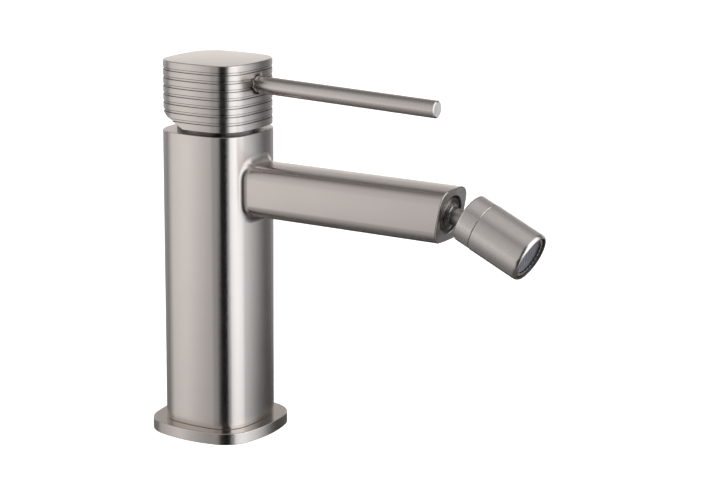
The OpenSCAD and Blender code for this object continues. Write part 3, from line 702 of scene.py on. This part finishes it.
def make_collar(materials):
    """Rear ring of the nozzle, closed round the back of the ball."""
    shape = Shape()
    e, b = 1.0, 0.3
    into = degrees(asin(-sqrt(SOCKET_R ** 2 - THROAT_R ** 2) / SOCKET_R))
    out = degrees(asin(THREAD_Z / SOCKET_R))
    lathe(shape, [
        bend(THROAT_R + b, -COLLAR_BACK + b, b, 180, 270, 4),
        line((THROAT_R + b, -COLLAR_BACK), (COLLAR_R - e, -COLLAR_BACK)),
        bend(COLLAR_R - e, -COLLAR_BACK + e, e, -90, 0, 10),
        line((COLLAR_R, -COLLAR_BACK + e), (COLLAR_R, SEAM - SEAM_EDGE)),
        bend(COLLAR_R - SEAM_EDGE, SEAM - SEAM_EDGE, SEAM_EDGE, 0, 90, 6),
        *lines((COLLAR_R - SEAM_EDGE, SEAM), (THREAD_R, SEAM), (THREAD_R, THREAD_Z),
               (SOCKET_R * cos(radians(out)), THREAD_Z)),
        bend(0, 0, SOCKET_R, out, into, 10, True),
        line((THROAT_R, SOCKET_R * sin(radians(into))), (THROAT_R, -COLLAR_BACK + b)),
    ], 128)
    return shape.build("nozzle_rear_ring", materials, ALONG_NOZZLE)


def make_sleeve(materials):
    """Front tube of the nozzle, with a rounded rim and a bore for the aerator."""
    shape = Shape()
    t = THREAD_R - 0.02
    into = degrees(asin(sqrt(SOCKET_R ** 2 - SLEEVE_BORE ** 2) / SOCKET_R))
    out = degrees(asin(THREAD_Z / SOCKET_R))
    start = (SOCKET_R * cos(radians(out)), THREAD_Z)
    floor, lip = MOUTH_FRONT - MOUTH_D, 0.08
    rim_r, rim_z = SLEEVE_R - MOUTH_R - lip, 1.9
    rim = []
    for i in range(17):
        a = PI / 2 * i / 16
        slope = Vector((rim_z * cos(a), rim_r * sin(a))).normalized()
        rim.append((SLEEVE_R - rim_r + rim_r * cos(a), MOUTH_FRONT - rim_z + rim_z * sin(a), *slope))
    lathe(shape, [
        *lines(start, (t, THREAD_Z), (t, SEAM), (SLEEVE_R - SEAM_EDGE, SEAM)),
        bend(SLEEVE_R - SEAM_EDGE, SEAM + SEAM_EDGE, SEAM_EDGE, -90, 0, 6),
        line((SLEEVE_R, SEAM + SEAM_EDGE), (SLEEVE_R, MOUTH_FRONT - rim_z)), rim,
        bend(MOUTH_R + lip, MOUTH_FRONT - lip, lip, 90, 180, 3),
    ], 128)
    # The mouth, bore and socket inside carry painted shade in slot 1.
    lathe(shape, [
        *lines((MOUTH_R, MOUTH_FRONT - lip), (MOUTH_R, floor), (SLEEVE_BORE, floor),
               (SLEEVE_BORE, SOCKET_R * sin(radians(into)))),
        bend(0, 0, SOCKET_R, into, out, 14, True),
    ], 128, 1)
    return shape.build("nozzle_front_tube", materials, ALONG_NOZZLE)


def make_aerator_ring(materials):
    """Aerator's body: its plain outer wall, its step and a front rim with key notches."""
    shape = Shape()
    sides, notches, deep, low = 208, 26, 0.7, 0.75
    floor = MOUTH_FRONT - MOUTH_D + 1.5
    front, shoulder = AERATOR_FRONT, AERATOR_FRONT - 2.5
    e, fit_r = 0.2, MOUTH_R - 0.02
    lathe(shape, [
        *lines((SLEEVE_BORE, floor), (fit_r, floor), (fit_r, shoulder), (AERATOR_R, shoulder),
               (AERATOR_R, front - e)),
        bend(AERATOR_R - e, front - e, e, 0, 90, 4),
    ], sides)

    def loop(radii, z):
        return [(r * cos(a), r * sin(a), z) for r, a in zip(radii, turns(sides))]

    inner = [AERATOR_IN + (deep if i % (sides // notches) < 4 else 0) for i in range(sides)]
    cover(shape, loop([AERATOR_R - e] * sides, front), loop(inner, front), UP)
    top, bottom = loop(inner, front), loop(inner, front - low)
    # The notch walls and floors take slot 1, darker plastic that is painted shade.
    for i in range(sides):
        k = (i + 1) % sides
        a, b = Vector(top[i]), Vector(top[k])
        n = (b - a).cross(Vector((0, 0, -1))).normalized()
        if n.dot(Vector((a.x + b.x, a.y + b.y, 0))) > 0 and abs(inner[i] - inner[k]) < 1e-6:
            n = -n
        shape.face([top[i], top[k], bottom[k], bottom[i]], [n] * 4, 1)
    cover(shape, bottom, loop([AERATOR_IN] * sides, front - low), UP, 1)
    seat = floor + 1
    lathe(shape, lines((AERATOR_IN, front - low), (AERATOR_IN, seat), (SLEEVE_BORE, seat),
                       (SLEEVE_BORE, floor)), sides)
    return shape.build("aerator_ring", materials, ALONG_NOZZLE)


def tube(shape, path, radius, sides=6):
    """Closed tube along points, none of which runs along Z."""
    rows = []
    path = [Vector(p) for p in path]
    for i, p in enumerate(path):
        way = (path[min(i + 1, len(path) - 1)] - path[max(i - 1, 0)]).normalized()
        side = way.cross(Vector(UP)).normalized()
        over = side.cross(way)
        row = []
        for a in turns(sides):
            n = side * cos(a) + over * sin(a)
            row.append((p + n * radius, n))
        rows.append(row)
    shape.grid(rows, True)
    for row, middle, other in ((rows[0], path[0], path[1]), (rows[-1], path[-1], path[-2])):
        hub(shape, [p for p, n in row], middle, (middle - other).normalized())


def make_mesh(materials):
    """Woven wire mesh across the aerator's mouth."""
    shape = Shape()
    pitch, wire, z, reach = 0.72, 0.13, AERATOR_FRONT - 1.3, AERATOR_IN - 0.08
    count = int(reach / pitch)
    for axis in (0, 1):
        for k in range(-count, count + 1):
            at = (k + 0.5 if abs(k + 0.5) * pitch < reach else k) * pitch
            half = sqrt(max(0, reach ** 2 - at ** 2)) - 0.05
            if half < pitch:
                continue
            steps = max(4, int(half * 2 / pitch * 3))
            path = []
            for i in range(steps + 1):
                s = -half + 2 * half * i / steps
                lift = wire * 1.02 * cos(PI * (s / pitch - 0.5) + (PI if (k + axis) % 2 else 0))
                p = (s, at, z + lift) if axis == 0 else (at, s, z + lift)
                path.append(p)
            tube(shape, path, wire)
    return shape.build("aerator_wire_mesh", materials, ALONG_NOZZLE)


class Nodes:
    """Short hand for the node tree of a new material or world."""

    def __init__(self, name, owners=bpy.data.materials):
        self.owner = owners.new(name)
        self.owner.use_nodes = True
        self.tree = self.owner.node_tree
        self.shader = self.tree.nodes.get("Principled BSDF")

    def add(self, kind, links=None, **values):
        node = self.tree.nodes.new(kind)
        for key, value in values.items():
            setattr(node, key, value)
        for key, value in (links or {}).items():
            self.put(node.inputs[key], value)
        return node

    def place(self):
        """Position on the piece, in the piece's own coordinates."""
        return self.add("ShaderNodeTexCoord").outputs["Object"]

    def put(self, socket, value):
        if isinstance(value, bpy.types.NodeSocket):
            self.tree.links.new(value, socket)
        else:
            socket.default_value = value

    def math(self, operation, a, b=0.0):
        return self.add("ShaderNodeMath", {0: a, 1: b}, operation=operation).outputs[0]

    def stretch(self, vector, factors):
        return self.add("ShaderNodeVectorMath", {0: vector, 1: factors}, operation="MULTIPLY").outputs[0]

    def noise(self, vector, scale, detail=2.0, roughness=0.5):
        node = self.add("ShaderNodeTexNoise", {"Vector": vector, "Scale": scale, "Detail": detail,
                                               "Roughness": roughness})
        return node.outputs["Fac"]

    def spread(self, value, low, high, start=0.3, stop=0.7):
        node = self.add("ShaderNodeMapRange", {0: value, 1: start, 2: stop, 3: low, 4: high})
        return node.outputs[0]

    def blend(self, factor, a, b):
        node = self.add("ShaderNodeMix", data_type="RGBA")
        for index, value in ((0, factor), (6, a), (7, b)):
            self.put(node.inputs[index], value)
        return node.outputs[2]

    def bump(self, height, distance):
        node = self.add("ShaderNodeBump", {"Height": height, "Distance": distance, "Strength": 1.0})
        self.put(self.shader.inputs["Normal"], node.outputs[0])

    def set(self, **values):
        for key, value in values.items():
            self.put(self.shader.inputs[key.replace("_", " ")], value)


def rgb(r, g, b):
    """Linear colour from the sRGB values of 0 to 255 that it should show."""
    def one(c):
        c /= 255
        return c / 12.92 if c <= 0.04045 else ((c + 0.055) / 1.055) ** 2.4
    return (one(r), one(g), one(b), 1.0)


def shade(tone, share):
    """A colour made darker or lighter by a share."""
    return tuple(min(1.0, c * share) for c in tone[:3]) + (1.0,)


COARSE, MIDDLE, FINE = 45.0, 900.0, 2600.0


def grain(n, around):
    """Coordinates whose noise draws brush marks: level round a body, along Y, or turned about Z."""
    place = n.place()
    if around == "level":
        facing = n.add("ShaderNodeTexCoord").outputs["Normal"]
        axis = n.add("ShaderNodeSeparateXYZ", {0: facing}).outputs[2]
        flat = n.math("GREATER_THAN", n.math("ABSOLUTE", axis), 0.7)
        scale = n.add("ShaderNodeMix", data_type="VECTOR")
        n.put(scale.inputs[0], flat)
        n.put(scale.inputs[4], (COARSE, COARSE, FINE))
        n.put(scale.inputs[5], (COARSE, FINE, COARSE))
        return n.stretch(place, scale.outputs[1])
    if around == "along":
        return n.stretch(place, (FINE, COARSE, FINE))
    return n.stretch(place, (MIDDLE, MIDDLE, FINE))


def brushed(name, tone, around, roughness, anisotropy=0.0, depth=1.0):
    """Brushed metal: fine directional grain in colour, roughness and relief, over a faint cloudiness.
    The depth scales how strongly the grain shows."""
    n = Nodes(name)
    marks = grain(n, around)
    fine = n.noise(marks, 1.0, 3.0, 0.6)
    broad = n.noise(marks, 0.22, 2.0)
    cloud = n.noise(n.place(), 70.0, 2.0)
    mixed = n.math("ADD", n.math("MULTIPLY", fine, 0.7), n.math("MULTIPLY", broad, 0.3))
    contrast = 0.035 * depth
    dark, light = shade(tone, 1 - contrast), shade(tone, 1 + contrast)
    n.set(Base_Color=n.blend(n.spread(mixed, 0, 1, 0.35, 0.65), dark, light), Metallic=1.0)
    uneven = n.math("ADD", n.spread(mixed, -0.02 * depth, 0.02 * depth), n.spread(cloud, -0.01, 0.01))
    n.set(Roughness=n.math("ADD", uneven, roughness))
    n.bump(mixed, 2e-6 * depth)
    if anisotropy:
        n.set(Anisotropic=anisotropy)
        if around == "level":
            facing = n.add("ShaderNodeNewGeometry").outputs["Normal"]
            up = n.math("ABSOLUTE", n.add("ShaderNodeSeparateXYZ", {0: facing}).outputs[2])
            level = n.add("ShaderNodeCombineXYZ", {1: up, 2: n.math("SUBTRACT", 1.0, up)})
            n.set(Tangent=level.outputs[0])
        else:
            about_axis = n.add("ShaderNodeTangent", direction_type="RADIAL", axis="Z")
            n.set(Anisotropic_Rotation=0.25, Tangent=about_axis.outputs[0])
    return n.owner


def turned(name, tone, roughness):
    """Machined metal with turning marks about Z."""
    n = Nodes(name)
    marks = n.noise(n.stretch(n.place(), (150, 150, 2400)), 1.0, 2.0)
    cloud = n.noise(n.place(), 120.0, 3.0)
    n.set(Base_Color=n.blend(n.spread(cloud, 0, 1), shade(tone, 0.82), tone), Metallic=1.0,
          Roughness=n.spread(marks, roughness - 0.05, roughness + 0.07))
    n.bump(marks, 4e-6)
    return n.owner


def moulded(name, tone, roughness, mottle=0.06, relief=8e-6):
    """Moulded plastic, rubber or ceramic with a fine surface and slightly uneven colour."""
    n = Nodes(name)
    fine = n.noise(n.place(), 1600.0, 3.0)
    cloud = n.noise(n.place(), 130.0, 2.0)
    n.set(Base_Color=n.blend(n.spread(cloud, 0, 1), shade(tone, 1 - mottle), tone),
          Roughness=n.spread(fine, roughness - 0.04, roughness + 0.05))
    n.bump(fine, relief)
    return n.owner


NICKEL = (0.62, 0.568, 0.538, 1.0)
# Painted shade: the spout's nickel is a darker copy of the body's, so it looks less lit.
SPOUT_SHADED_NICKEL = (0.575, 0.523, 0.494, 1.0)
# Painted light: a lighter copy of the nickel for the spout's slanted end and its recess, so they look lit.
END_LIT_NICKEL = (0.74, 0.69, 0.66, 1.0)
BRIGHT_NICKEL = (0.73, 0.677, 0.645, 1.0)
DARK_NICKEL = (0.34, 0.315, 0.3, 1.0)
NECK_NICKEL = (0.17, 0.157, 0.15, 1.0)
# Painted shade: near-black nickel for the head's groove flanks and rod hole and the inside of the nozzle's
# mouth.
PAINTED_SHADE_NICKEL = (0.2, 0.18, 0.17, 1.0)

nickel = brushed("brushed_nickel_level", NICKEL, "level", 0.25, 0.55, 0.25)
nickel_head = brushed("brushed_nickel_head", NICKEL, "level", 0.29, 0.7, 0.3)
nickel_root = brushed("brushed_nickel_root", NICKEL, "level", 0.33, 0.4, 0.2)
nickel_top = brushed("brushed_nickel_top", NICKEL, "level", 0.15, depth=0.4)
nickel_painted_shade = brushed("brushed_nickel_painted_shade", PAINTED_SHADE_NICKEL, "level", 0.3, 0.5, 0.5)
nickel_along_shaded = brushed("brushed_nickel_along_shaded", SPOUT_SHADED_NICKEL, "along", 0.22, depth=0.15)
nickel_rod = brushed("brushed_nickel_rod", NICKEL, "along", 0.27, depth=0.12)
nickel_end_lit = turned("faced_nickel_end_lit", END_LIT_NICKEL, 0.36)
# Painted highlight: the rod's end face is a much lighter copy of the nickel; the turning marks are real.
nickel_faced_lit = turned("faced_nickel", (0.86, 0.83, 0.81, 1.0), 0.5)
nickel_round = brushed("brushed_nickel_turned", BRIGHT_NICKEL, "round", 0.26, 0.5, 0.9)
nickel_dark = brushed("dark_nickel_turned", DARK_NICKEL, "round", 0.28)
nickel_neck = brushed("dark_nickel_neck", NECK_NICKEL, "round", 0.28)
brass = turned("machined_brass", (0.72, 0.50, 0.22, 1.0), 0.3)
steel = turned("machined_steel", (0.56, 0.56, 0.56, 1.0), 0.25)
wire_steel = brushed("woven_wire_steel", (0.5, 0.49, 0.53, 1.0), "round", 0.3)
rubber = moulded("black_rubber", rgb(38, 38, 38), 0.72, 0.15, 1.6e-5)
ceramic = moulded("alumina_ceramic", rgb(222, 218, 208), 0.28, 0.04, 2e-6)
white_acetal = moulded("white_acetal", rgb(224, 222, 215), 0.42)
grey_acetal = moulded("grey_acetal", rgb(98, 102, 108), 0.45)
blue_acetal = moulded("blue_acetal", rgb(52, 92, 134), 0.45)
aerator_grey = moulded("aerator_plastic", rgb(150, 149, 147), 0.38)
# Painted shade: darker plastic on the walls and floors of the aerator's notches and inner lip.
aerator_notch_shade = moulded("aerator_plastic_notch_shade", rgb(66, 66, 70), 0.5)

PIECES = (
    (make_tower, (nickel, nickel_along_shaded, nickel_end_lit, nickel_root), "mixer", "mixer_body",
     "brushed_nickel"),
    (make_plate, (nickel, nickel_top), "mixer", "base_flange", "brushed_nickel"),
    (make_gasket, (rubber,), "mixer", "base_gasket", "rubber"),
    (make_neck, (nickel_neck,), "mixer", "cover_ring", "dark_nickel"),
    (make_stud, (nickel_dark,), "mixer", "ball_stud", "dark_nickel"),
    (make_head, (nickel_head, nickel_top, nickel_painted_shade), "lever", "handle_block", "brushed_nickel"),
    (make_rod, (nickel_rod, nickel_faced_lit), "lever", "lever_rod", "brushed_nickel"),
    (make_collar, (nickel_round,), "nozzle", "nozzle_collar", "brushed_nickel"),
    (make_sleeve, (nickel_round, nickel_painted_shade), "nozzle", "nozzle_sleeve", "brushed_nickel"),
    (make_aerator_ring, (aerator_grey, aerator_notch_shade), "nozzle", "aerator_housing", "aerator_grey"),
    (make_mesh, (wire_steel,), "nozzle", "aerator_mesh", "steel"),
)
for make, materials, body, node, slot in PIECES:
    piece = make(materials)
    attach(piece, body)
    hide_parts(node)

KEPT = {
    "cartridge_nut": brass, "cartridge_housing": grey_acetal, "cartridge_base": white_acetal,
    "inlet_seals": rubber, "outlet_seal": rubber, "stud_seal": rubber, "fixed_disc": ceramic,
    "moving_disc": ceramic, "disc_carrier": blue_acetal, "rotor": white_acetal, "stem_pin": steel,
    "lever_stem": steel, "ball_liner": white_acetal, "ball_seal": rubber, "aerator_seal": rubber,
    "aerator_insert": blue_acetal,
}
for name, material in KEPT.items():
    nodes[name].data.materials.clear()
    nodes[name].data.materials.append(material)


def card_glow():
    """Emission as strong as the card's own level at each point."""
    n = Nodes("studio_card")
    n.tree.nodes.clear()
    level = n.add("ShaderNodeAttribute", attribute_name="level")
    light = n.add("ShaderNodeEmission", {"Color": level.outputs["Color"]})
    n.add("ShaderNodeOutputMaterial", {"Surface": light.outputs[0]})
    return n.owner


CARD = card_glow()
WARM = (1.0, 0.965, 0.93)
COOL = (0.97, 1.01, 1.04)


def card(name, azimuths, heights, low, high=None, tint=(1.0, 1.0, 1.0)):
    """Studio card or softbox, bent round the object. Angles are in degrees, seen from the object.
    Its light runs between the levels given for the two ends of its lower and of its upper edge."""
    radius, middle = 1.7, Vector((0, -0.06, 0.09))
    high = high or low
    columns, rows = 16, 10
    verts, faces, levels = [], [], []
    for j in range(rows + 1):
        v = j / rows
        e = radians(heights[0] + (heights[1] - heights[0]) * v)
        for i in range(columns + 1):
            u = i / columns
            a = radians(azimuths[0] + (azimuths[1] - azimuths[0]) * u)
            way = Vector((cos(a) * cos(e), sin(a) * cos(e), sin(e)))
            verts.append(middle + radius * way)
            level = (1 - v) * ((1 - u) * low[0] + u * low[1]) + v * ((1 - u) * high[0] + u * high[1])
            levels += [level * share for share in tint] + [1.0]
    for j in range(rows):
        for i in range(columns):
            k = j * (columns + 1) + i
            faces.append((k, k + columns + 1, k + columns + 2, k + 1))
    mesh = bpy.data.meshes.new(name)
    mesh.from_pydata(verts, [], faces)
    mesh.attributes.new("level", "FLOAT_COLOR", "POINT").data.foreach_set("color", levels)
    mesh.materials.append(CARD)
    obj = add_object(name, mesh)
    obj.visible_camera = False
    obj.visible_shadow = False


card("left_wall", (95, 140), (-12.5, 50), (0.25, 1.2), (0.36, 0.6))
card("left_wall_low", (95, 140), (-27, -12.5), (0.2, 0.8), (0.24, 1.2))
card("left_return", (140, 165), (-12.5, 50), (1.2, 0.47), (0.6, 0.55))
card("left_return_low", (140, 165), (-27, -12.5), (0.45, 0.26), (1.2, 0.47))
card("left_corner", (165, 197), (-12.5, 50), (0.54, 0.6), (0.5, 0.26))
card("left_corner_low", (165, 186), (-27, -12.5), (0.28, 0.1), (0.42, 0.3))
card("flag_by_camera", (197, 237), (-12.5, 50), (0.01, 0.01))
card("flag_middle", (186, 227), (-18.5, -12.5), (0.01, 0.01))
card("flag_low", (186, 241), (-60, -18.5), (0.01, 0.01))
card("softbox_near", (237, 262), (-12.5, 50), (1.45, 1.78), tint=COOL)
card("softbox_near_middle", (227, 262), (-18.5, -12.5), (1.5, 1.75), (1.45, 1.78), COOL)
card("softbox_near_low", (241, 266), (-27, -18.5), (0.75, 1.25), (1.0, 1.6), COOL)
card("softbox_right", (262, 285), (-18.5, 50), (1.78, 1.68), tint=COOL)
card("softbox_right_low", (266, 298), (-27, -18.5), (1.25, 1.08), (1.6, 1.45), COOL)
card("softbox_edge", (285, 312), (-18.5, 50), (1.68, 1.1), (1.9, 1.45), COOL)
card("softbox_end", (312, 334), (-18.5, -6), (1.1, 0.1), (1.1, 0.06), COOL)
card("softbox_end_high", (312, 326), (-6, 50), (1.15, 0.12), (1.45, 0.1), COOL)
card("softbox_return", (326, 334), (-6, 50), (0.12, 0.06), (0.1, 0.08))
card("softbox_edge_low", (298, 325), (-27, -18.5), (1.08, 0.02), (1.45, 0.06), COOL)
card("back_dark", (-35, 95), (-27, -18.5), (0.02, 0.1), (0.02, 0.25))
card("back_corner", (-26, -16), (-18.5, 2), (0.02, 0.3), (0.15, 0.5))
card("back_low", (-16, 95), (-18.5, 2), (0.35, 0.3), (0.55, 0.55))
card("back_horizon_end", (-26, 14), (2, 10.5), (0.12, 1.65), (0.12, 1.5), WARM)
card("back_horizon", (14, 95), (2, 10.5), (1.68, 1.5), (1.55, 1.3), WARM)
card("back_middle_end", (-26, 8), (10.5, 22), (0.1, 0.47), (0.1, 0.44), WARM)
card("back_middle", (8, 95), (10.5, 22), (0.47, 0.42), (0.44, 0.4), WARM)
card("back_high_end", (-26, 8), (22, 50), (0.12, 0.44), (0.16, 0.4))
card("back_high", (8, 95), (22, 50), (0.46, 0.42), (0.42, 0.24))
card("ceiling_behind", (10, 115), (50, 70), (0.1, 0.18), (0.24, 0.28))
card("ceiling_front", (115, 370), (50, 70), (0.42, 0.36), (0.53, 0.5))
card("ceiling_middle", (0, 360), (70, 89.9), (0.56, 0.56))
card("ground_left", (50, 186), (-60, -27), (0.1, 0.26), (0.25, 0.75))
card("ground_right", (241, 332), (-60, -27), (0.2, 0.1), (1.1, 0.12))
card("ground_behind", (-28, 50), (-60, -27), (0.06, 0.06))
card("ground_middle", (0, 360), (-89.9, -60), (0.1, 0.1))


def seen_directly(n):
    """One for camera rays and for the rays that metal and glass send on, zero for the rest."""
    path = n.add("ShaderNodeLightPath").outputs
    seen = path["Is Camera Ray"]
    for kind in ("Is Glossy Ray", "Is Transmission Ray"):
        seen = n.math("MAXIMUM", seen, path[kind])
    return seen


WHITE = (1.0, 1.0, 1.0, 1.0)


def make_world():
    """White world, seen in full directly and in metal, and dimmer as light."""
    n = Nodes("studio", bpy.data.worlds)
    scene.world = n.owner
    n.tree.nodes.clear()
    levels = []
    for strength in (0.55, 1.0):
        background = n.add("ShaderNodeBackground", {"Color": WHITE, "Strength": strength})
        levels.append(background.outputs[0])
    mix = n.add("ShaderNodeMixShader", {0: seen_directly(n), 1: levels[0], 2: levels[1]})
    n.add("ShaderNodeOutputWorld", {"Surface": mix.outputs[0]})


def make_floor():
    """Pale floor that reads as the white background and still takes the shadow of the object."""
    mesh = bpy.data.meshes.new("floor")
    size = 6.0
    square = [(-size, -size, 0), (size, -size, 0), (size, size, 0), (-size, size, 0)]
    mesh.from_pydata(square, [], [(0, 1, 2, 3)])
    n = Nodes("pale_floor")
    n.set(Base_Color=(0.8, 0.8, 0.8, 1.0), Roughness=0.9, Specular_IOR_Level=0.1,
          Emission_Color=WHITE, Emission_Strength=n.math("MULTIPLY", seen_directly(n), 0.7))
    mesh.materials.append(n.owner)
    floor = add_object("floor", mesh)
    floor.visible_glossy = False


def lamp(name, location, size, power):
    """Round soft lamp that faces the object. Metal doesn't mirror it."""
    data = bpy.data.lights.new(name, "AREA")
    data.shape = "DISK"
    data.size, data.energy = size, power
    obj = add_object(name, data)
    obj.location = location
    aim = Vector((0, -0.06, 0.08)) - Vector(location)
    obj.rotation_euler = aim.to_track_quat("-Z", "Y").to_euler()
    obj.visible_glossy = False
    obj.visible_camera = False


def make_camera():
    """Camera fitted to the photograph, whose frame is taken as 720 pixels wide and 500 high."""
    wide, high, sensor = 720, 500, 36.0
    azimuth, elevation, roll = (radians(a) for a in (-58.717, 13.89, -0.465))
    focal, distance, target_z = 2110.72, 883.44, 78.75
    target_px = (219.331, 245.779)
    flat = cos(elevation)
    back = Vector((sin(azimuth) * flat, -cos(azimuth) * flat, sin(elevation)))
    right = Vector((cos(azimuth), sin(azimuth), 0))
    up = back.cross(right)
    across = (target_px[0] - wide / 2) * distance / focal
    above = -(target_px[1] - high / 2) * distance / focal
    place = (Vector((0, 0, target_z)) + distance * back - across * right - above * up) * MM
    co, si = cos(roll), sin(roll)
    x, y = co * right - si * up, si * right + co * up
    data = bpy.data.cameras.new("camera")
    data.sensor_width = sensor
    data.lens = focal / wide * sensor
    data.clip_start, data.clip_end = 0.05, 20.0
    obj = add_object("camera", data)
    obj.matrix_world = Matrix.Translation(place) @ Matrix((x, y, back)).transposed().to_4x4()
    scene.camera = obj


make_world()
make_floor()
lamp("soft_key", (-1.0, -0.5, 1.4), 0.9, 9.0)
lamp("soft_fill", (0.5, -1.3, 0.9), 1.0, 5.0)
make_camera()
scene.view_settings.view_transform = "Standard"
